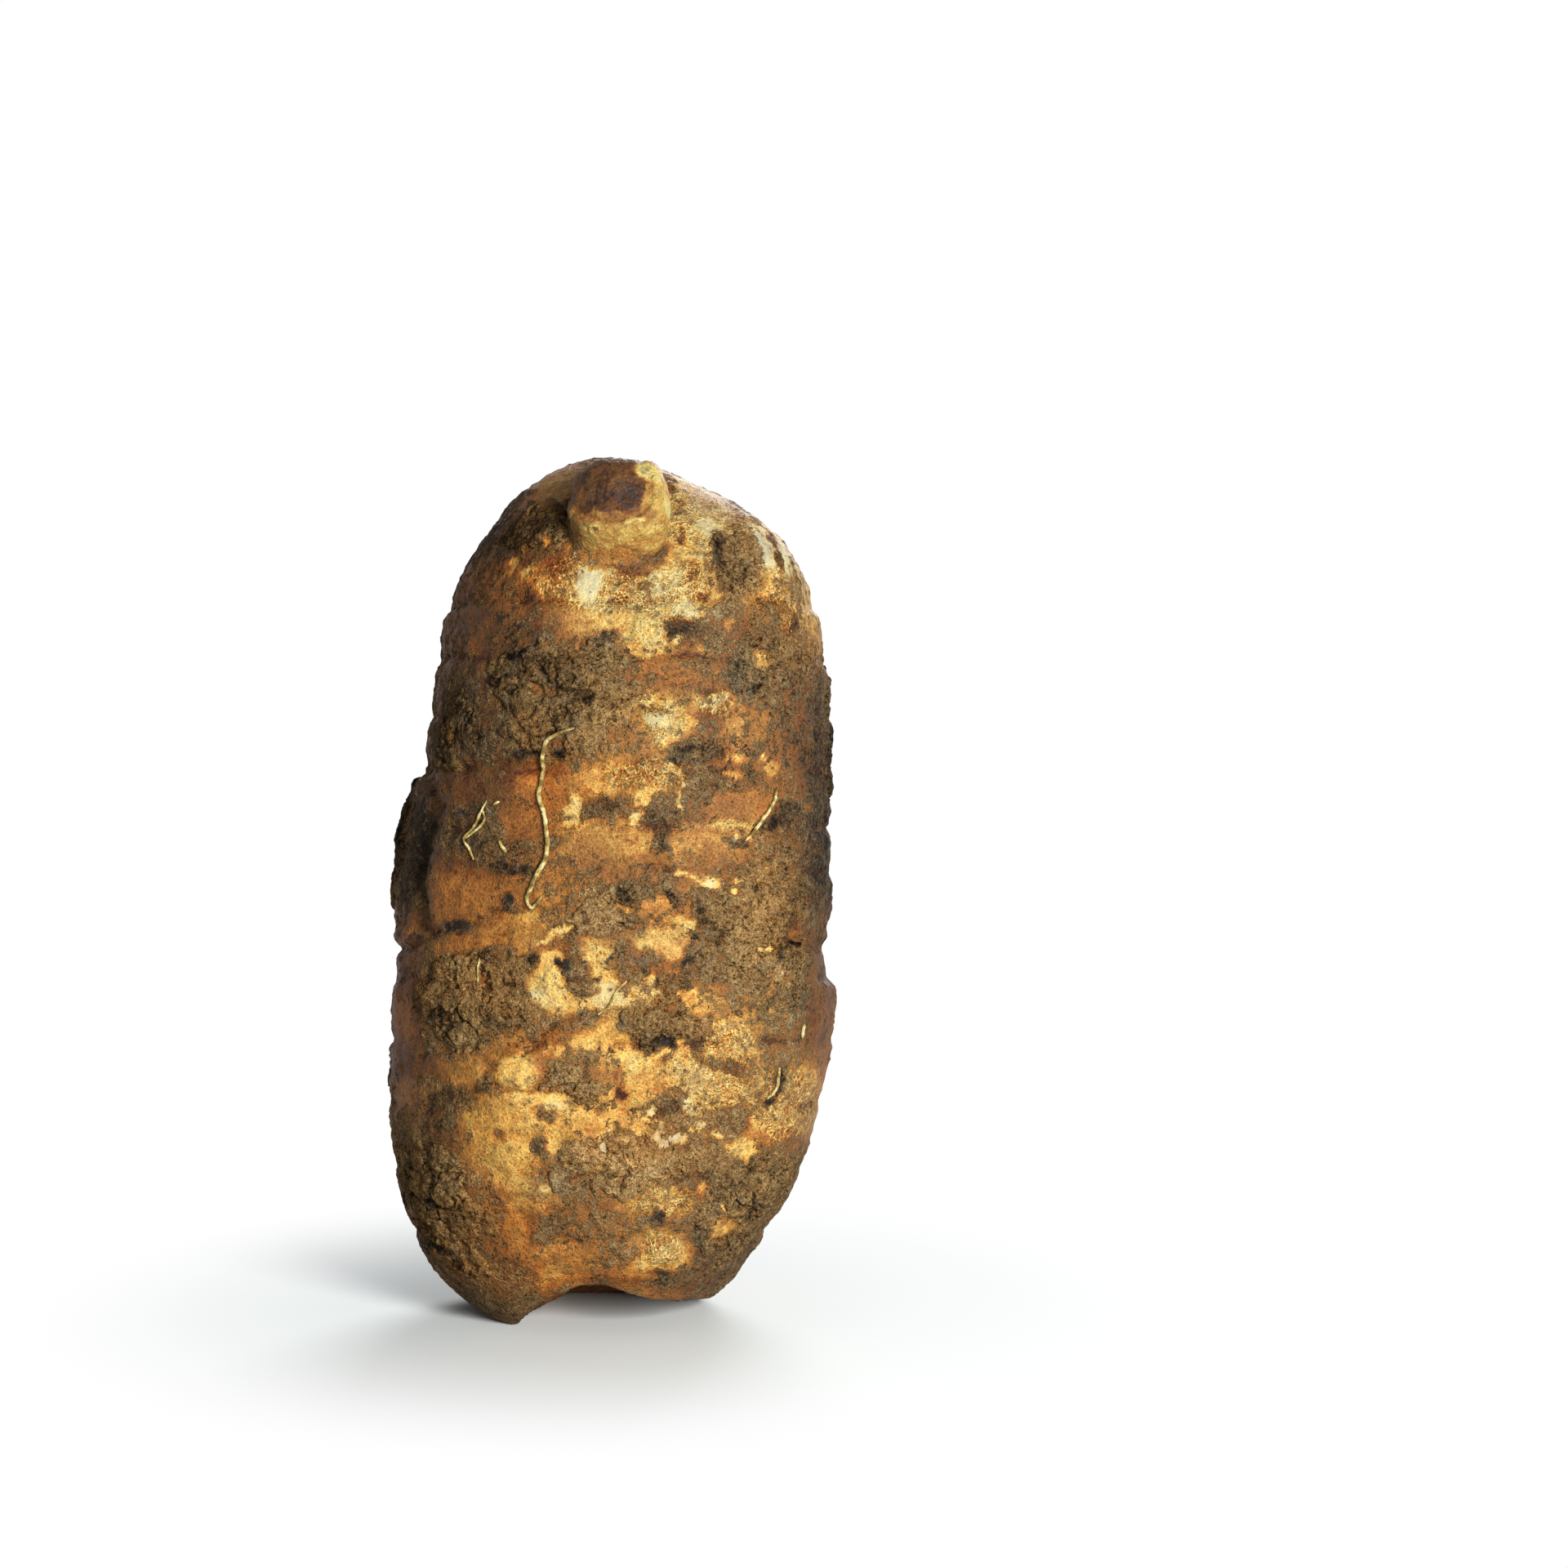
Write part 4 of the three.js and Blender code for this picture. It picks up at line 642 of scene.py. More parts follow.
class Shader:
    """A material's nodes. Sockets and plain values can both be given as inputs."""

    def __init__(self, name):
        self.material = bpy.data.materials.new(name)
        self.material.use_nodes = True
        self.nodes = self.material.node_tree.nodes
        self.links = self.material.node_tree.links
        self.nodes.clear()
        place = self.nodes.new("ShaderNodeTexCoord").outputs["Object"]
        scaled = self.node("ShaderNodeVectorMath", {0: place, "Scale": 1 / MM}, operation="SCALE")
        self.place = scaled.outputs[0]

    def node(self, kind, inputs=None, **settings):
        made = self.nodes.new(kind)
        for setting, value in settings.items():
            setattr(made, setting, value)
        for key, value in (inputs or {}).items():
            if isinstance(value, bpy.types.NodeSocket):
                self.links.new(value, made.inputs[key])
            else:
                made.inputs[key].default_value = value
        return made

    def field(self, name):
        return self.node("ShaderNodeAttribute", attribute_name=name).outputs["Fac"]

    def noise(self, size, detail=3.0, roughness=0.6):
        """Noise around 0, mostly from -1 to 1, with features of that size in mm."""
        inputs = {"Vector": self.place, "Scale": 1 / size, "Detail": detail, "Roughness": roughness}
        raw = self.node("ShaderNodeTexNoise", inputs).outputs["Fac"]
        gain = 4 + min(detail, 3)
        return self.maths("MULTIPLY_ADD", raw, gain, -gain / 2)

    def grains(self, size):
        """Distance to the nearest of random points about that far apart, and two picks for it."""
        inputs = {"Vector": self.place, "Scale": 1 / size}
        made = self.node("ShaderNodeTexVoronoi", inputs)
        pick = self.node("ShaderNodeSeparateColor", {0: made.outputs["Color"]})
        return made.outputs["Distance"], pick.outputs[0], pick.outputs[1]

    def maths(self, operation, a, b=0.0, c=0.0):
        return self.node("ShaderNodeMath", {0: a, 1: b, 2: c}, operation=operation).outputs[0]

    def sum(self, *terms):
        """Adds up numbers or sockets, each given alone or as (socket, factor)."""
        total = 0.0
        for term in terms:
            socket, factor = term if isinstance(term, tuple) else (term, 1.0)
            total = self.maths("MULTIPLY_ADD", socket, factor, total)
        return total

    def times(self, first, *others):
        for other in others:
            first = self.maths("MULTIPLY", first, other)
        return first

    def step(self, low, high, value):
        inputs = {"Value": value, "From Min": low, "From Max": high}
        made = self.node("ShaderNodeMapRange", inputs, interpolation_type="SMOOTHSTEP")
        return made.outputs[0]

    def ramp(self, value, stops):
        """The stops' colours along a value."""
        made = self.node("ShaderNodeValToRGB", {"Fac": value})
        elements = made.color_ramp.elements
        while len(elements) < len(stops):
            elements.new(0.5)
        for element, (place, *rgb) in zip(elements, stops):
            element.position = place
            element.color = linear(*rgb)
        return made.outputs["Color"]

    def mix(self, share, color, other, blend="MIX"):
        inputs = {0: share, 6: color, 7: other}
        return self.node("ShaderNodeMix", inputs, data_type="RGBA", blend_type=blend).outputs[2]

    def glaze(self, share, color, tint):
        """The colour multiplied with a tint, by that share."""
        return self.mix(share, color, tint, "MULTIPLY")

    def tinted(self, color):
        """The colour made warmer or cooler by the warmth field, which is 0.5 where it stays."""
        warmth = self.field("warmth")
        cool = self.mix(self.step(0.5, 0, warmth), PLAIN, COOL)
        warm = self.mix(self.step(0.5, 1, warmth), cool, WARM)
        return self.glaze(1.0, color, warm)

    def grained(self, color, grain, strength):
        """The colour deeper and redder where the grain is below 0, and paler where it is above."""
        low = self.times(self.step(0.05, -0.95, grain), strength)
        high = self.times(self.step(0.1, 1.1, grain), strength)
        return self.glaze(high, self.glaze(low, color, GRAIN_DARK), GRAIN_PALE)

    def finish(self, color, roughness, height, relief, specular=0.15):
        """The surface itself. A height of 1 stands out by the relief, in mm."""
        inputs = {"Height": height, "Distance": relief * MM, "Strength": 1.0}
        bump = self.node("ShaderNodeBump", inputs)
        inputs = {"Base Color": color, "Roughness": roughness, "Normal": bump.outputs[0]}
        surface = self.node("ShaderNodeBsdfPrincipled", inputs)
        surface.inputs["Specular IOR Level"].default_value = specular
        self.node("ShaderNodeOutputMaterial", {"Surface": surface.outputs[0]})
        return self.material


def soil_layers(shader, cover, tone):
    """Dried soil: olive-brown, mottled, made of grains, with pores darkened by painted shade. Its
    colour and height.
    """
    patches = shader.noise(7, 4)
    crumbs = shader.noise(1.2, 4, 0.7)
    grit = shader.noise(0.45, 2, 0.7)
    distance, pick, hue = shader.grains(0.34)
    shade = shader.sum(0.36, (shader.times(cover, shader.sum(tone, -0.36)), 1.0))
    level = shader.sum(0.01, (patches, 0.12), (crumbs, 0.07), (grit, 0.06), (pick, 0.2),
                       (shade, 0.85))
    color = shader.ramp(level, SOIL_COLORS)
    rusty = shader.sum(0.6, (shader.noise(3.4, 4, 0.7), 0.5), (hue, 0.5), (grit, 0.25),
                       (cover, -1.0))
    rusty = shader.step(0.1, 0.8, rusty)
    color = shader.mix(shader.times(rusty, 0.5), color, RUST)
    gray = shader.step(0.4, 1.0, shader.sum((shader.noise(2.4, 4, 0.7), 0.7), (hue, 0.4)))
    color = shader.mix(shader.times(gray, cover, 0.6), color, GRAY_SOIL)
    fine = shader.sum((shader.noise(0.22, 1), 1.05), (crumbs, 0.25))
    color = shader.grained(color, fine, 0.9)
    # painted shade: the pores are darkened as shade inside them would make them, and sunk by the
    # bump
    shaded_pores = shader.sum((grit, 0.8), (crumbs, 0.35), (shader.noise(2.6, 5, 0.75), 0.3))
    shaded_pores = shader.times(shader.step(-0.55, -0.85, shaded_pores), shader.step(0.1, 0.7, cover))
    color = shader.glaze(shader.times(shaded_pores, 0.75), color, PORE_SHADE)
    height = shader.sum((crumbs, 0.14), (grit, 0.18), (pick, 0.22), (distance, -0.25),
                        (shaded_pores, -0.4))
    return color, height


def skin_material(name, dirt, tint):
    """Skin with soil on it, by the fields. Dirt says how much of the fine dirt it has, 0 to 1."""
    shader = Shader(name)
    fields = ("cover", "tone", "dark", "seam", "gritty")
    cover, tone, dark, seam, rough = (shader.field(field) for field in fields)
    broad = shader.noise(5, 3)
    blotches = shader.noise(2.2, 4, 0.65)
    freckles = shader.noise(0.9, 3, 0.65)
    grit = shader.noise(0.42, 2, 0.65)
    threads = shader.step(0.5, 0.05, shader.maths("ABSOLUTE", shader.noise(1.0, 2, 0.6)))
    _, fleck, _ = shader.grains(0.36)
    clean = shader.step(0.94, 0.8, tone)
    rough = shader.times(rough, clean)

    # the skin's own colour, mottled, with threads and flakes where it is gritty
    amount = shader.sum(0.35, (clean, 0.4), (rough, 0.7))
    mottle = shader.sum(-0.05, (broad, 0.05), (blotches, 0.08), (freckles, 0.08), (grit, 0.06),
                        (fleck, 0.1))
    flakes = shader.times(shader.sum(-0.06, (threads, 0.24), (fleck, 0.08)), rough)
    pale = shader.sum(tone, shader.times(mottle, amount), flakes)
    pale = shader.maths("MINIMUM", pale, shader.maths("MAXIMUM", tone, 0.84))
    skin = shader.ramp(pale, SKIN_COLORS)
    soil, soil_height = soil_layers(shader, cover, tone)
    edge = shader.sum(-0.2 * dirt, (cover, 1.1), (blotches, 0.22 * dirt), (freckles, 0.2 * dirt),
                      (grit, 0.12 * dirt), (fleck, 0.3 * dirt))
    thick = shader.step(0.54, 0.62, edge)

    # a film of soil, fine grain, stains, gaps between flakes, and dark specks
    film = shader.sum(cover, (broad, 0.12), (shader.noise(1.6, 4, 0.7), 0.28), (freckles, 0.15),
                      (fleck, 0.15))
    film = shader.step(0.05, 0.8, film)
    color = shader.mix(shader.times(film, 0.66), skin, SOIL_FILM)
    fine = shader.noise(0.26, 1)
    grain = shader.sum(-0.1, (fine, 0.9), (freckles, 0.2), (fleck, 0.3))
    busy = shader.times(shader.sum(0.2, (clean, 0.5), (rough, 0.5)), 0.4 + 0.6 * dirt)
    color = shader.grained(color, grain, busy)
    stains = shader.sum((grit, 0.5), (freckles, 0.4), (blotches, 0.3), (cover, 0.35), (rough, 0.1))
    stains = shader.times(shader.step(0.2, 0.8, stains), clean)
    color = shader.glaze(shader.times(stains, 0.45 * dirt), color, STAIN)
    gaps = shader.times(shader.sum(1, (threads, -1)), rough)
    color = shader.glaze(shader.times(gaps, 0.5), color, FLAKE_GAP)
    specks = shader.sum((fine, 0.55), (freckles, 0.3), (blotches, 0.18), (film, 0.3), (rough, 0.1))
    specks = shader.times(shader.step(0.5, 0.62, specks), clean)
    color = shader.glaze(shader.times(specks, 0.7 * dirt), color, SPECK)

    # thick soil, then the red-brown seams and one painted shadow line, and the blue-black spots,
    # all ragged at their edges
    color = shader.mix(thick, color, soil)
    ragged = shader.sum((freckles, 0.4), (grit, 0.4), (fleck, 0.2))
    red = shader.sum(seam, shader.times(ragged, shader.step(0, 0.4, seam)))
    color = shader.mix(shader.times(shader.step(0.4, 0.8, red), 0.7), color, SEAM_AND_SHADOW_RED)
    black = shader.sum(dark, shader.times(ragged, shader.step(0, 0.4, dark)))
    color = shader.mix(shader.times(shader.step(0.5, 0.75, black), 0.75), color, SPOT_BLACK)
    roughness = shader.sum((thick, 0.35), 0.55)
    height = shader.sum((freckles, 0.08), (grit, 0.12), (shader.times(thick, soil_height), 1.0),
                        (thick, 0.5), (specks, -0.25), (shader.times(rough, threads), 0.5))
    color = shader.glaze(1.0, shader.tinted(color), tint)
    return shader.finish(color, roughness, height, SKIN_RELIEF)


def soil_material():
    shader = Shader("clinging soil")
    color, height = soil_layers(shader, shader.field("cover"), shader.field("tone"))
    return shader.finish(shader.tinted(color), 0.95, height, SOIL_RELIEF, specular=0.05)


def rootlet_material():
    shader = Shader("dry rootlet")
    color = shader.ramp(shader.sum(0.5, (shader.noise(1.2, 3), 0.3)), ROOTLET_COLORS)
    return shader.finish(color, 0.6, shader.noise(0.25), ROOTLET_RELIEF)


SKIN = skin_material("tuber skin", 1.0, PLAIN)
BUD_SKIN = skin_material("bud scales", 0.45, BUD_TINT)
SOIL = soil_material()
ROOTLET = rootlet_material()


# ---------------------------------------------------------------- painting
def ellipse(x, z, patch):
    """How far out a point is in a patch: 0 in its middle and 1 at its edge."""
    centre_x, centre_z, half_x, half_z, turn = patch[:5]
    cos, sin = math.cos(math.radians(turn)), math.sin(math.radians(turn))
    across = ((x - centre_x) * cos + (z - centre_z) * sin) / half_x
    up = ((z - centre_z) * cos - (x - centre_x) * sin) / half_z
    return rounded(across, up)


def from_line(x, z, line):
    """Distance from points to a line of points."""
    nearest = np.full(len(x), 1e9)
    for (ax, az), (bx, bz) in zip(line, line[1:]):
        along = (x - ax) * (bx - ax) + (z - az) * (bz - az)
        along = np.clip(along / ((bx - ax) ** 2 + (bz - az) ** 2), 0, 1)
        distance = np.hypot(x - ax - along * (bx - ax), z - az - along * (bz - az))
        nearest = np.minimum(nearest, distance)
    return nearest


def painted(x, z, patches, cover, tone):
    """Soil cover and skin tone where the patches blend into each other and into what was there."""
    weight = np.full(len(x), 0.006)
    cover, tone = weight * cover, weight * tone
    for patch in patches:
        share = 1 / ((1 + ellipse(x, z, patch) ** 5) * (patch[2] * patch[3]) ** 0.8)
        weight = weight + share
        cover, tone = cover + share * patch[5], tone + share * patch[6]
    return cover / weight, tone / weight


def layered(x, z, patches, cover, tone):
    """Soil cover and skin tone with each patch laid over what was there."""
    for patch in patches:
        reach = ellipse(x, z, patch)
        cover = cover + step(1.6, 0.55, reach) * (patch[5] - cover)
        tone = tone + step(1.35, 0.7, reach) * (patch[6] - tone)
    return cover, tone


def ragged_places(points):
    """Where points are seen, shifted so that outlines come out ragged: loosely, for broad patches,
    and tightly, for small ones."""
    x, z = seen(points)
    wide_x, wide_z = clouds(points, 5, 3, 5), clouds(points, 5, 3, 7)
    fine_x, fine_z = clouds(points, 1.2, 2, 6), clouds(points, 1.2, 2, 8)
    loose = x + 1.1 * wide_x + 0.5 * fine_x, z + wide_z + 0.5 * fine_z
    tight = x + (0.4 * wide_x + 0.6 * fine_x), z + (0.4 * wide_z + 0.6 * fine_z)
    return loose, tight


def front_paint(loose, tight, front, cover, tone):
    """Soil cover, skin tone and warmth with the front painted on, as far as points face it."""
    front_cover, front_tone = painted(*loose, PAINT, cover, tone)
    front_cover, front_tone = layered(*tight, DETAILS, front_cover, front_tone)
    warmth = np.full(len(cover), 0.5)
    for wash in WASHES:
        share = step(1.6, 0.2, ellipse(*tight, wash))
        front_tone = front_tone + share * wash[5]
        warmth = warmth + 0.5 * share * wash[6] * front
    return cover + (front_cover - cover) * front, tone + (front_tone - tone) * front, warmth


def facing(normals):
    """1 where the surface faces the front or the sides, and 0 at the back."""
    return step(0.3, -0.05, normals[:, 1])


# ---------------------------------------------------------------- the tuber
AROUND = 84  # cells along each side of the top of the box grid
TALL = 240
FRONT_SHARE = 0.28  # how much closer together the cells lie at the front
FAN_LENGTH = 42  # how much of a side's outline curves in to the crown, and to the base
FAN_LOW, FAN_HIGH = 26, HEIGHT - 27  # heights where the rays fan out to the base and the crown
OUTLINE = 2 * FAN_LENGTH + FAN_HIGH - FAN_LOW
CAP = 27  # outline length covered by the first 50 degrees
STANDING = 0.05  # skin below this height stands on the floor
NEAR_CRUST = 16  # skin farther than this from a crust's middle is left as it is


def box_grid(wide, tall):
    """Unit directions and outward quads of a closed box grid with wide x wide x tall cells."""
    size = np.array([wide, wide, tall])
    corners, quads, start = [], [], 0
    for axis in range(3):
        u, v = [a for a in range(3) if a != axis]
        along, across = np.meshgrid(np.arange(size[u] + 1), np.arange(size[v] + 1), indexing="ij")
        for end in (0, size[axis]):
            sheet = np.zeros((*along.shape, 3), int)
            sheet[..., u], sheet[..., v], sheet[..., axis] = along, across, end
            number = start + np.arange(along.size).reshape(along.shape)
            ring = [number[:-1, :-1], number[1:, :-1], number[1:, 1:], number[:-1, 1:]]
            outward = (end > 0) == (axis != 1)
            quads.append(np.stack(ring if outward else ring[::-1], -1).reshape(-1, 4))
            corners.append(sheet.reshape(-1, 3))
            start += along.size
    unique, merged = np.unique(np.vstack(corners), axis=0, return_inverse=True)
    bent = np.tan((unique / size * 2 - 1) * math.pi / 4)
    return bent / np.linalg.norm(bent, axis=1)[:, None], merged.ravel()[np.vstack(quads)]


def tuber_rays(directions):
    """Where each ray starts on the axis, and its direction, spaced evenly along the outline."""
    polar = np.degrees(np.arccos(np.clip(directions[:, 2], -1, 1)))
    along = np.interp(polar, [0, 50, 130, 180], [0, CAP, OUTLINE - CAP, OUTLINE])
    knots = [0, FAN_LENGTH, OUTLINE - FAN_LENGTH, OUTLINE]
    start = np.interp(along, knots, [FAN_HIGH, FAN_HIGH, FAN_LOW, FAN_LOW])
    lift = np.radians(np.interp(along, knots, [90, 0, 0, -90]))
    turn = np.arctan2(directions[:, 0], -directions[:, 1])
    turn = turn - FRONT_SHARE * np.sin(turn) * np.sin(np.radians(polar))
    flat = np.column_stack([np.sin(turn) * np.cos(lift), -np.cos(turn) * np.cos(lift)])
    rays = np.column_stack([flat, np.sin(lift)])
    return np.column_stack([np.zeros((len(start), 2)), start]), rays


def base_skin():
    """The CAD tuber's surface on an even grid of quads, with its facets smoothed away."""
    tree = tree_of(*cad_mesh("tuber"))
    directions, quads = box_grid(AROUND, TALL)
    starts, rays = tuber_rays(directions)
    outside = 100
    hits = [tree.ray_cast(Vector(s + outside * r), Vector(-r))[0] for s, r in zip(starts, rays)]
    points = np.array([tuple(h) for h in hits])
    edges = edges_of(quads)
    standing = points[:, 2] < STANDING
    low = step(7, 2, points[:, 2])[:, None]
    points = low * smooth(points, edges, 3) + (1 - low) * smooth(points, edges, 14)
    points[standing, 2] = 0
    return points, quads, edges


def ring_distance(points, wander):
    """Signed height above the nearest ring."""
    level = points[:, 2] + RING_TILT * (points[:, 1] - FRONT_Y) + wander
    rings = np.array(RINGS)
    nearest = rings[np.abs(level[:, None] - rings[None, :]).argmin(axis=1)]
    return level - nearest


def arched(points):
    """Heights once the front of the base is raised to its arch, leaving the back standing."""
    along, edge = np.array(ARCH).T
    behind = step(-9, 1, points[:, 1])
    depth = points[:, 1] * math.tan(ELEVATION)
    target = np.interp(points[:, 0], along, edge)
    raised = np.clip(target + behind * np.minimum(2.4 - target, 0) - depth, 0, 6)
    raised *= step(-14, -9, points[:, 0]) * step(18, 14, points[:, 0]) * step(11, 4, points[:, 1])
    return points[:, 2] + raised * np.clip(1 - points[:, 2] / 12, 0, 1)


def beside_crusts(points, cover, medium):
    """Soil cover raised next to the crusts, so that they thin out into soiled skin."""
    for node in SOIL_NODES:
        corners, faces = cad_mesh(node)
        close = np.linalg.norm(points - corners.mean(axis=0), axis=1) < NEAR_CRUST
        tree = tree_of(corners, faces)
        gap = np.array([tree.find_nearest(Vector(p))[3] for p in points[close]])
        beside = 0.7 * step(1.6, 0.4, gap + 0.5 * medium[close])
        beside *= step(0.05, 0.35, cover[close])
        cover[close] = np.maximum(cover[close], beside)
    return cover


def build_tuber():
    points, quads, edges = base_skin()
    normals = normals_of(points, quads)
    folded = np.einsum("ij,ij->i", smooth(points, edges, 60, False) - points, normals)
    wide, medium, small = (clouds(points, s, 3, i) for i, s in enumerate((9, 3, 1.1), 1))
    plain_x, plain_z = seen(points)
    loose, tight = ragged_places(points)
    x, z = loose
    front = facing(normals)

    # rings, seams with one painted shadow line, spots and creases
    ring = ring_distance(points, 0.8 * clouds(points, 14, 2, 9) + 0.3 * medium)
    broken = step(-0.25, 0.45, clouds(points, 5, 2, 10))
    in_groove = bell(ring, 0.7)
    seam = 0.55 * in_groove * broken
    for line in SEAMS_AND_SHADOW:
        marked = step(0.5, 0.1, from_line(x, z, line)) * (0.4 + 0.6 * broken)
        seam = np.maximum(seam, front * marked)
    dark = np.zeros(len(points))
    for spot in SPOTS:
        dark = np.maximum(dark, front * 0.75 * step(1.5, 0.3, ellipse(x, z, spot)))
    crease = np.zeros(len(points))
    half_x, half_z = 0.6 * plain_x + 0.4 * x, 0.6 * plain_z + 0.4 * z
    for depth, width, line in CREASES:
        fold = depth * bell(from_line(half_x, half_z, line), width)
        crease = np.maximum(crease, front * fold)
    gritty = np.clip(0.25 * wide, 0, 1)
    for patch in GRITTY:
        gritty = np.maximum(gritty, front * step(1.3, 0.6, ellipse(x, z, patch)))

    # soil cover and tone
    cover = 0.5 + 0.75 * wide + 0.25 * in_groove
    tone = 0.48 + 0.25 * clouds(points, 6, 3, 11)
    cover, tone, warmth = front_paint(loose, tight, front, cover, tone)
    tone = tone - 0.1 * in_groove * broken + 0.06 * medium
    cover = cover + 0.2 * medium + 0.12 * small + np.clip(folded, 0, 0.15)
    cover = beside_crusts(points, cover, medium)
    cover = np.clip(0.5 + 0.8 * (cover - 0.5), 0, 1)

    # how far each point stands out
    soiled = step(0.4, 0.65, cover)
    lift = 0.3 * wide + 0.14 * medium + 0.06 * small
    lift += 0.25 * bell(ring + 1.5, 1.2) - 0.3 * in_groove * (0.4 + 0.6 * broken)
    lift += soiled * (0.14 + 0.16 * small + 0.12 * clouds(points, 0.8, 2, 12)) - 0.3 * seam - crease
    for height, *bump in BUMPS:
        reach = ellipse(0.5 * (plain_x + x), 0.5 * (plain_z + z), bump)
        lift += front * height * np.sqrt(np.clip(1 - reach**2, 0, 1)) * step(1, 0.8, reach)
    lift *= step(0, 2.5, points[:, 2])
    lift -= bud_seat(points)
    points = points + normals * lift[:, None]
    points[:, 2] = np.maximum(points[:, 2], 0)
    points[:, 2] = arched(points)
    piece = make_object("tuber_skin", points, quads, SKIN, "skin", cover=cover, tone=tone,
                        dark=dark, seam=seam, gritty=gritty, warmth=warmth)
    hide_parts("tuber")
    return points, quads


# ---------------------------------------------------------------- the bud
BUD_FOOT = np.array([2.1, -13, 113])
BUD_RADIUS, BUD_FLAT, BUD_LENGTH = 6.5, 0.9, 8.3
BUD_LEAN, BUD_TURN = math.radians(62), math.radians(4)
BUD_SIDES, BUD_ROWS = 300, 150
BUD_SHARES = [(0, 1), (0.36, 0.97), (0.72, 0.87), (0.95, 0.66), (1, 0.4), (0.95, 0)]
BUD_ROOT = [(0.88, -4), (0.8, -6)]  # shares of the radius, and heights below the foot
BUD_CAP = (0.3, 116.2, 5.9, 4.9, 0)  # the cap inside the sheath, as an ellipse
BUD_TIP_X, BUD_TIP_Z = 2.6, 115.6
BUD_WARMTH = 0.12


def bud_axes():
    """The bud's own directions: to its right, up along its face, and out along its axis."""
    right = np.array([math.cos(BUD_TURN), math.sin(BUD_TURN), 0])
    ahead = np.array([math.sin(BUD_TURN), -math.cos(BUD_TURN), 0])
    out = ahead * math.sin(BUD_LEAN) + np.array([0, 0, math.cos(BUD_LEAN)])
    return right, np.cross(out, right), out


def bud_seat(points):
    """How far the skin is pushed in where the bud's scales stand, and in the groove round them."""
    right, up, out = bud_axes()
    from_foot = points - BUD_FOOT
    across, along, above = from_foot @ right, from_foot @ up / BUD_FLAT, from_foot @ out
    reach = rounded(across, along)
    inside = step(BUD_RADIUS + 0.4, BUD_RADIUS - 0.6, reach) * step(-1, 0.5, above)
    left = step(2, -6, across)
    groove = bell(reach - BUD_RADIUS - 0.5, 0.6) * step(-4, -2, above) * step(-3, 2, along)
    return 1.5 * inside + (0.2 + 0.8 * left) * groove


def placed_on_bud(local):
    """Points given along the bud's own directions, in the frame."""
    right, up, out = bud_axes()
    return BUD_FOOT + local[:, :1] * right + local[:, 1:2] * up + local[:, 2:] * out


def bud_shape():
    """The plain bud: points along its own directions and the ways out there."""
    outline = [(a * BUD_RADIUS, b * BUD_LENGTH) for a, b in BUD_SHARES]
    outline += [(a * BUD_RADIUS, height) for a, height in BUD_ROOT]
    rows = curve_through(outline, 0.05)
    profile = rows[np.linspace(0, len(rows) - 1, BUD_ROWS + 1).astype(int)]
    slope = np.gradient(profile, axis=0)
    slope /= np.linalg.norm(slope, axis=1)[:, None]
    turns = np.linspace(0, 2 * math.pi, BUD_SIDES, endpoint=False)
    ring = np.column_stack([np.cos(turns), np.sin(turns)])
    square = np.tile(1 / rounded(ring[:, 0], ring[:, 1]), BUD_ROWS)
    face = np.tile(ring, (BUD_ROWS, 1))
    reach, height = np.repeat(profile[1:], BUD_SIDES, axis=0).T
    wide = reach * (1 + (square - 1) * step(0, 0.8, reach / BUD_RADIUS))
    # towards the front the sheath runs out into the skin
    wide += 0.16 * np.clip(-face[:, 1], 0, 1) ** 1.5 * np.clip(5.5 - height, 0, 7) ** 1.5
    local = np.column_stack([wide * face[:, 0], BUD_FLAT * wide * face[:, 1], height])
    across, along = np.repeat(slope[1:], BUD_SIDES, axis=0).T
    outward = np.column_stack([-along[:, None] * face, across])
    return np.vstack([[0, 0, BUD_LENGTH], local]), np.vstack([[0, 0, 1.0], outward])


def build_bud():
    local, outward = bud_shape()

    # the outer scale: a sheath that stands round the cap, lower at the front
    x, z = seen(placed_on_bud(local))
    past_rim = 5 * (ellipse(x, z, BUD_CAP) - 1)
    past_rim += 0.3 * clouds(local, 2.5, 3, 51) + 0.1 * clouds(local, 0.7, 2, 52)
    sheath = step(-0.15, 0.15, past_rim) * step(-0.3, 0.2, local[:, 2])
    lift = 0.3 * sheath + 0.2 * bell(past_rim - 0.5, 0.5) * sheath
    lift -= 0.12 * bell(past_rim + 0.3, 0.35)
    # the cap is wrinkled round its tip, which is a little hollow
    from_tip = np.hypot(x - BUD_TIP_X, z - BUD_TIP_Z)
    lift -= 0.35 * bell(from_tip, 1.8)
    lift += 0.12 * bell(from_tip - 2.8, 0.5) + 0.07 * bell(from_tip - 4, 0.4)
    lift += 0.2 * clouds(local, 2.2, 3, 53) + 0.08 * clouds(local, 0.8, 3, 54)
    local = local + outward * lift[:, None]
    points = placed_on_bud(local)

    x, z = seen(points)
    x = x + 0.55 * clouds(points, 2.2, 4, 55)
    z = z + 0.55 * clouds(points, 2.2, 4, 56)
    zero = np.zeros(len(points))
    cover, tone = layered(x, z, BUD_PAINT, zero + 0.3, zero + 0.5)
    seam = 0.6 * bell(past_rim + 0.2, 0.2) * step(-0.2, 0.5, clouds(local, 2, 2, 57))
    dark = zero
    for *spot, depth in BUD_SPOTS:
        dark = np.maximum(dark, depth * step(1.5, 0.3, ellipse(x, z, spot)))
    bottom = [[BUD_SIDES * BUD_ROWS - s for s in range(BUD_SIDES)]]
    faces = shell_faces(BUD_SIDES, BUD_ROWS) + bottom
    make_object("bud_scales", points, faces, BUD_SKIN, "skin", cover=cover, tone=tone,
                dark=dark, seam=seam, gritty=zero, warmth=zero + BUD_WARMTH)
    return points, faces


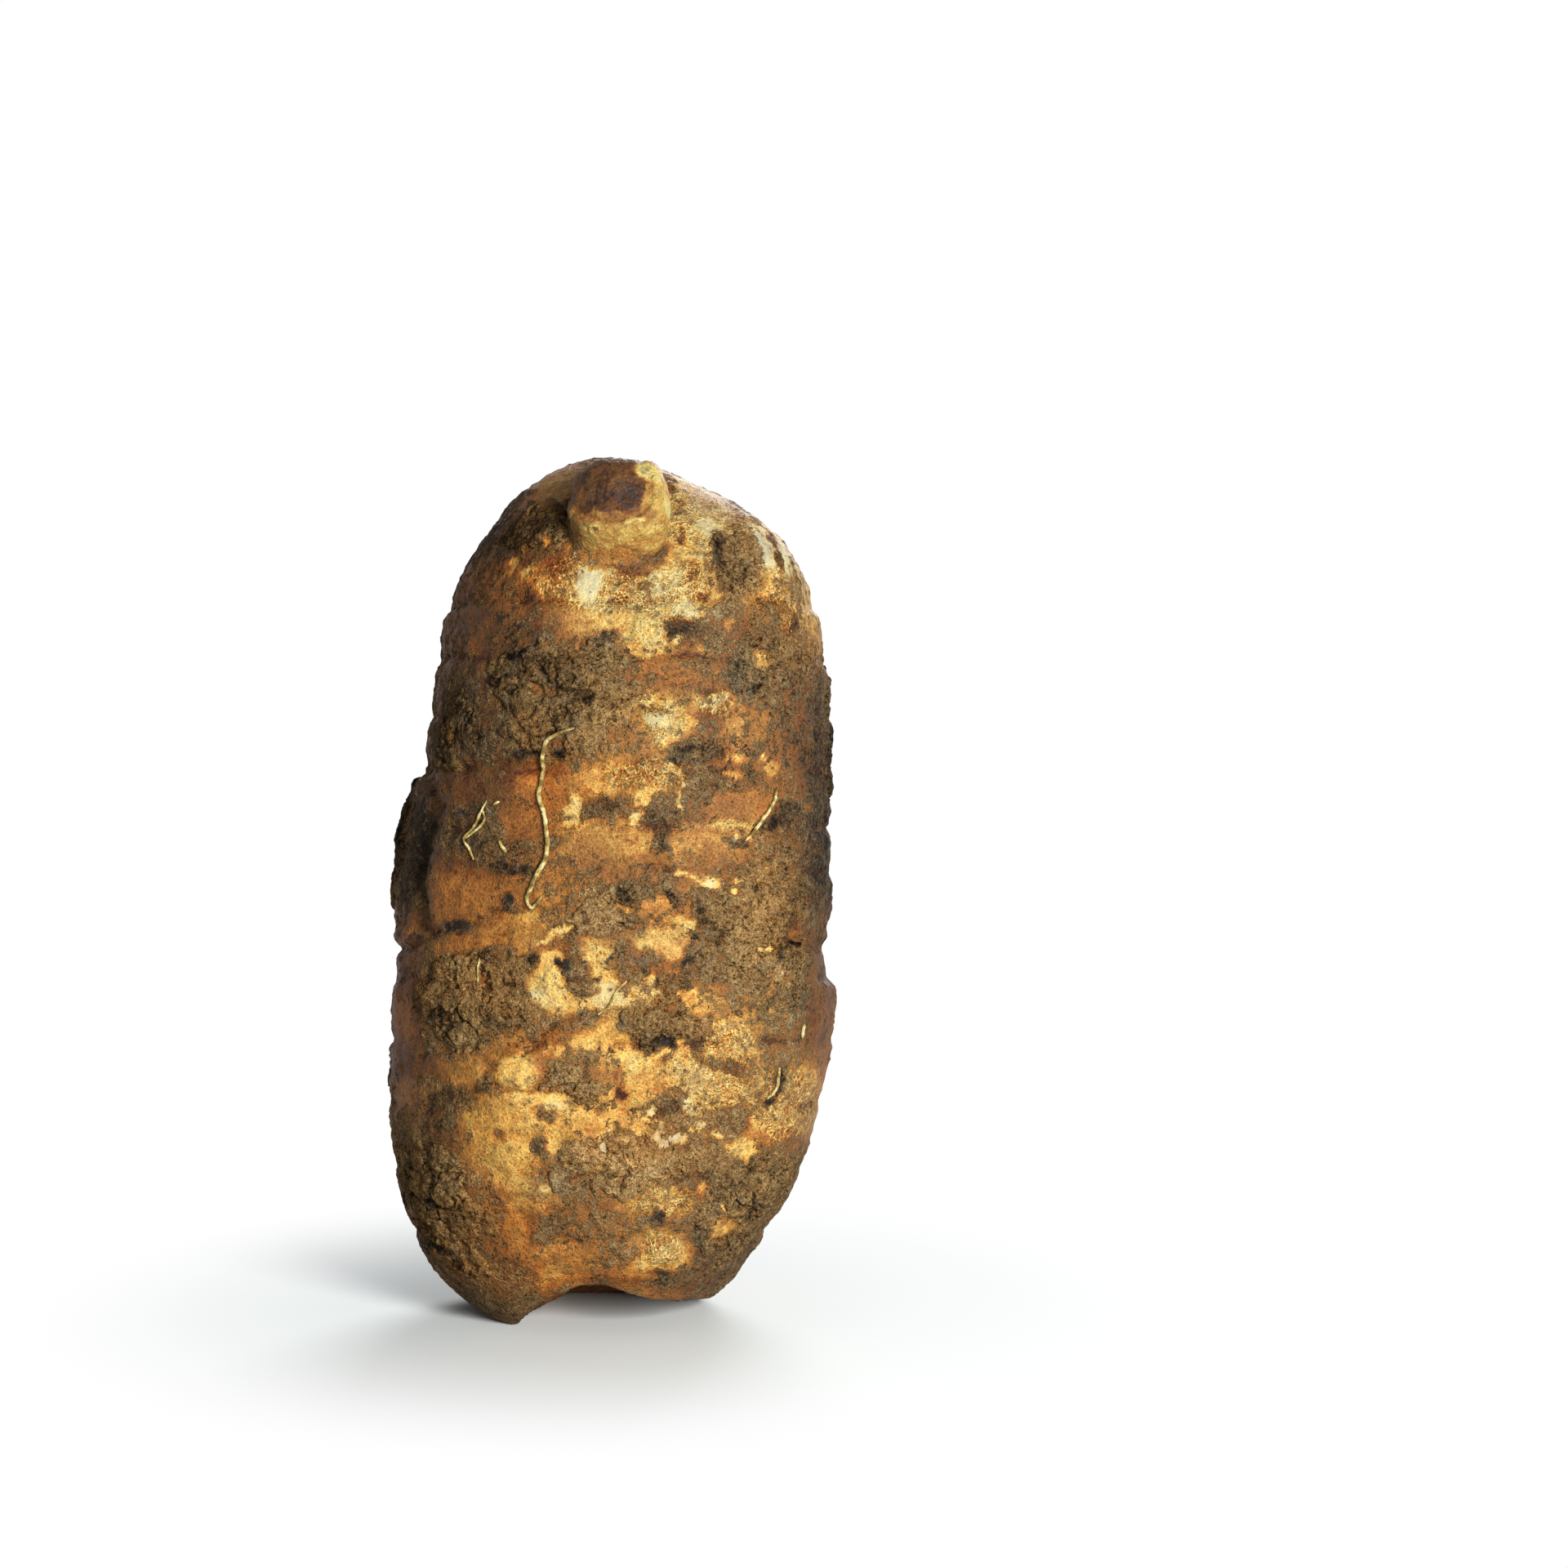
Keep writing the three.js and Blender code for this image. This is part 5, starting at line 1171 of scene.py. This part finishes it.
# ---------------------------------------------------------------- soil crusts
SPOKES = 190
CRUST_RINGS = 46
UNDER_RINGS = 5
EDGE_REACH = 1.14  # how far past the CAD crust's outline the fine crust is laid
SUNK_EDGE = 0.35  # how far a crust's edge lies under the skin
UNDERSIDE = SUNK_EDGE + 0.25
RIM_TURN, RIM_SHARE = 0.25, 0.97  # the outline's points reach nearly as far as all within a turn


def turn_apart(angles, angle):
    """The smaller turn between angles, in radians."""
    return (angles - angle + math.pi) % (2 * math.pi) - math.pi


def crust_frame(corners, skin):
    """A crust's middle, the axes along the skin and away from it, and its outline by angle."""
    middle = corners.mean(axis=0)
    outward = np.mean([skin.find_nearest(Vector(c))[1] for c in corners], axis=0)
    outward /= np.linalg.norm(outward)
    across = np.cross([0, 0, 1], outward)
    across /= np.linalg.norm(across)
    up = np.cross(outward, across)
    flat_x, flat_y = (corners - middle) @ across, (corners - middle) @ up
    angles = np.arctan2(flat_y, flat_x)
    reach = np.hypot(flat_x, flat_y)
    rim = []
    for i in np.argsort(angles):
        beside = np.abs(turn_apart(angles, angles[i])) < RIM_TURN
        if reach[i] >= RIM_SHARE * reach[beside].max():
            rim.append(i)
    return middle, across, up, outward, angles[rim], reach[rim]


def spoke_grid(shares):
    """A middle point and then rings of spokes: each point's share of the reach, and its turn."""
    turns = np.linspace(-math.pi, math.pi, SPOKES, endpoint=False)
    share = np.concatenate([[0], np.repeat(shares, SPOKES)])
    return share, np.concatenate([[0], np.tile(turns, len(shares))])


def build_crust(name, skin, smooth_skin):
    corners, _ = cad_mesh(name)
    heights = [skin.find_nearest(Vector(c))[3] for c in corners]
    thick = np.percentile(heights, 95) - SUNK_EDGE
    middle, across, up, outward, rim_turns, rim_reach = crust_frame(corners, skin)

    def lay(share, turn):
        """Points on the skin, and the way out there, at shares of the outline's reach."""
        reach = share * np.interp(turn, rim_turns, rim_reach, period=2 * math.pi)
        flat = middle + (reach * np.cos(turn))[:, None] * across
        flat = flat + (reach * np.sin(turn))[:, None] * up
        found = [skin.ray_cast(Vector(f + 30 * outward), Vector(-outward))[0] for f in flat]
        ways = [tuple(smooth_skin.find_nearest(s)[1]) for s in found]
        return np.array([tuple(s) for s in found]), np.array(ways)

    share, turn = spoke_grid(np.linspace(0, EDGE_REACH, CRUST_RINGS + 1)[1:])
    spots, ways = lay(share, turn)
    cover = 0.85 + 0.3 * clouds(spots, 4, 3, 31)
    tone = 0.42 + 0.15 * clouds(spots, 3, 3, 32)
    cover, tone, warmth = front_paint(*ragged_places(spots), facing(ways), cover, tone)

    # the body of the crust, with ragged edges and holes, lumps, grains and cracks
    ragged = share + 0.38 * clouds(spots, 5, 4, 21) + 0.14 * clouds(spots, 1.1, 3, 22)
    holes = step(0.4, 0.6, clouds(spots, 2.6, 4, 29) + 0.3 * ragged)
    lumps = 0.6 + 0.14 * clouds(spots, 2.4, 3, 23) + 0.1 * clouds(spots, 0.9, 3, 24)
    sharp = 0.04 + 0.16 * step(-0.3, 0.4, clouds(spots, 4, 2, 30))
    body = step(1.0, 1.0 - sharp, ragged) * (1 - holes) * (0.5 + 0.5 * step(0.95, 0.4, ragged))
    body *= step(0.3, 0.6, cover + 0.15 * clouds(spots, 0.9, 3, 33))
    wander = np.column_stack([clouds(spots, 1.5, 2, s) for s in (25, 26, 27)])
    first, second = cells(spots + 0.5 * wander, 4.2, 3)
    split = step(0.09, 0.0, second - first) * step(0.0, 0.3, clouds(spots, 6, 2, 28))
    grain, _ = cells(spots, 0.95, 5)
    lift = thick * body * lumps + 0.07 * (0.6 - grain) - 0.5 * thick * split * body
    lift = lift - SUNK_EDGE * (1 - step(0, 0.3, body))
    lift = np.where(share > EDGE_REACH * 0.97, -SUNK_EDGE, lift)
    outer = spots + ways * lift[:, None]

    # the underside, inside the tuber
    under_spots, under_ways = lay(*spoke_grid(np.linspace(0, EDGE_REACH, UNDER_RINGS + 1)[1:-1]))
    inner = under_spots - under_ways * UNDERSIDE
    faces = shell_faces(SPOKES, CRUST_RINGS)
    faces += [f[::-1] for f in shell_faces(SPOKES, UNDER_RINGS - 1, len(outer))]
    rim_out = 1 + (CRUST_RINGS - 1) * SPOKES
    rim_in = len(outer) + 1 + (UNDER_RINGS - 2) * SPOKES
    for s in range(SPOKES):
        t = (s + 1) % SPOKES
        faces.append([rim_out + s, rim_in + s, rim_in + t, rim_out + t])
    points = np.vstack([outer, inner])
    fields = {"cover": cover, "tone": tone - 0.35 * split * body, "warmth": warmth}
    fields = {field: np.pad(values, (0, len(inner))) for field, values in fields.items()}
    piece = make_object(name + "_crust", points, faces, SOIL, "soil", **fields)
    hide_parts(name)
    return points, faces


# ---------------------------------------------------------------- rootlets
STRAND_SPACING = 0.25
STRAND_LIFT = 0.42  # how far a strand's middle lies off the ground, as a share of its width


def tube(path, radii, sides=9):
    """A closed tube along a path, with its own radius at each point."""
    tangents = np.gradient(path, axis=0)
    tangents /= np.linalg.norm(tangents, axis=1)[:, None]
    side = np.cross(tangents, [0.0, -1.0, 0.0])
    side /= np.linalg.norm(side, axis=1)[:, None]
    other = np.cross(tangents, side)
    turns = np.arange(sides) * 2 * math.pi / sides
    rings = [p + r * (np.cos(turns)[:, None] * s + np.sin(turns)[:, None] * o)
             for p, r, s, o in zip(path, radii, side, other)]
    tips = [path[:1] - tangents[:1] * radii[0], path[-1:] + tangents[-1:] * radii[-1]]
    first, last = len(path) * sides, len(path) * sides + 1
    faces = []
    for s in range(sides):
        t = (s + 1) % sides
        for k in range(0, first - sides, sides):
            faces.append([k + s, k + t, k + sides + t, k + sides + s])
        faces.append([first, t, s])
        faces.append([last, first - sides + s, first - sides + t])
    return np.vstack(rings + tips), faces


def strand_path(strand, width, ground, number):
    """A strand's middle line, laid on whatever the viewer sees first there."""
    ways = [sight(x, z) for x, z in curve_through(strand, STRAND_SPACING)]
    far = []
    for way in ways:
        hits = [tree.ray_cast(VIEWER, way)[3] for tree in ground]
        far.append(min(h for h in hits if h is not None))
    nearest = np.array([min(far[max(0, i - 4):i + 5]) for i in range(len(far))])
    padded = np.pad(0.5 * (nearest + far), 2, mode="edge")
    laid = np.convolve(padded, np.ones(5) / 5, mode="valid")
    laid = laid - STRAND_LIFT * width
    path = np.array([tuple(VIEWER + way * float(d)) for way, d in zip(ways, laid)])
    wobble = [clouds(path, 1.4, 2, 40 + axis + number) for axis in range(3)]
    return path + 0.12 * np.column_stack(wobble)


def build_rootlet(name, ground):
    width, strands = ROOTLETS[name]
    all_points, all_faces, count = [], [], 0
    for number, strand in enumerate(strands):
        path = strand_path(strand, width, ground, number)
        share = np.linspace(0, 1, len(path))
        taper = 0.5 + 0.5 * np.minimum(1, 5 * np.minimum(share, 1.02 - share))
        radii = 0.5 * width * taper * (1 + 0.2 * clouds(path, 0.7, 2, 44))
        points, faces = tube(path, radii)
        all_faces += [[count + i for i in face] for face in faces]
        all_points.append(points)
        count += len(points)
    piece = make_object(name + "_fibre", np.vstack(all_points), all_faces, ROOTLET, "rootlet")
    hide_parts(name)


# ---------------------------------------------------------------- the object
SOIL_NODES = sorted(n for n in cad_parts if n.startswith("soil"))
skin_points, skin_quads = build_tuber()
skin_tree = tree_of(skin_points, skin_quads)
smooth_tree = tree_of(smooth(skin_points, edges_of(skin_quads), 25), skin_quads)
ground_trees = [skin_tree, tree_of(*build_bud())]
for node in SOIL_NODES:
    ground_trees.append(tree_of(*build_crust(node, skin_tree, smooth_tree)))
for node in ROOTLETS:
    build_rootlet(node, ground_trees)


# ---------------------------------------------------------------- floor, light and camera
FLOOR_HALF = 1500
FADE_START, FADE_END = 26, 85  # distances over which the floor fades out into the background
WHITE = (1, 1, 1, 1)


def background_rays(nodes, links):
    """1 for the rays that show the white background: seen directly, reflected or through glass."""
    path = nodes.new("ShaderNodeLightPath")
    either = path.outputs["Is Camera Ray"]
    for kind in ("Is Glossy Ray", "Is Transmission Ray"):
        highest = nodes.new("ShaderNodeMath")
        highest.operation = "MAXIMUM"
        links.new(either, highest.inputs[0])
        links.new(path.outputs[kind], highest.inputs[1])
        either = highest.outputs[0]
    return either


def build_floor():
    corners = np.array([[-1, -1, 0], [1, -1, 0], [1, 1, 0], [-1, 1, 0]]) * float(FLOOR_HALF)
    shader = Shader("white floor")
    away = shader.node("ShaderNodeVectorMath", {0: shader.place}, operation="LENGTH")
    fade = shader.step(FADE_START, FADE_END, away.outputs["Value"])
    shown = background_rays(shader.nodes, shader.links)
    shade = shader.mix(shown, (0.6, 0.62, 0.62, 1), (0.9, 0.95, 0.96, 1))
    diffuse = shader.node("ShaderNodeBsdfDiffuse", {"Color": shade}).outputs[0]
    white = shader.node("ShaderNodeEmission", {"Color": WHITE, "Strength": 1.0}).outputs[0]
    share = shader.times(fade, shown)
    mixed = shader.node("ShaderNodeMixShader", {0: share, 1: diffuse, 2: white})
    shader.node("ShaderNodeOutputMaterial", {"Surface": mixed.outputs[0]})
    make_object("floor", corners, [[0, 1, 2, 3]], shader.material, None)


def build_world():
    world = bpy.data.worlds.new("studio")
    bpy.context.scene.world = world
    world.use_nodes = True
    nodes, links = world.node_tree.nodes, world.node_tree.links
    nodes.clear()
    light = nodes.new("ShaderNodeBackground")
    light.inputs["Color"].default_value = (0.95, 0.98, 1.0, 1)
    light.inputs["Strength"].default_value = 0.17
    white = nodes.new("ShaderNodeBackground")
    white.inputs["Color"].default_value = WHITE
    mixed = nodes.new("ShaderNodeMixShader")
    out = nodes.new("ShaderNodeOutputWorld")
    links.new(background_rays(nodes, links), mixed.inputs[0])
    links.new(light.outputs[0], mixed.inputs[1])
    links.new(white.outputs[0], mixed.inputs[2])
    links.new(mixed.outputs[0], out.inputs[0])


def area_lamp(name, place, target, size, power, color=(1, 1, 1)):
    lamp = bpy.data.lights.new(name, "AREA")
    lamp.size = size * MM
    lamp.energy = power
    lamp.color = color
    holder = bpy.data.objects.new(name, lamp)
    holder.location = Vector(place) * MM
    holder.rotation_euler = (Vector(target) - Vector(place)).to_track_quat("-Z", "Y").to_euler()
    bpy.context.scene.collection.objects.link(holder)


def build_camera():
    camera = bpy.data.cameras.new("camera")
    camera.lens = LENS
    camera.sensor_width = 36
    camera.clip_start = 0.01
    holder = bpy.data.objects.new("camera", camera)
    holder.location = VIEWER * MM
    holder.rotation_euler = AHEAD.to_track_quat("-Z", "Y").to_euler()
    bpy.context.scene.collection.objects.link(holder)
    bpy.context.scene.camera = holder


build_floor()
build_world()
area_lamp("key", (300, -570, 195), (0, 0, 50), 220, 7.6, (1, 0.985, 0.95))
area_lamp("rear", (120, 560, 330), (0, 0, 60), 300, 3.2)
build_camera()
bpy.context.scene.view_settings.view_transform = "Standard"
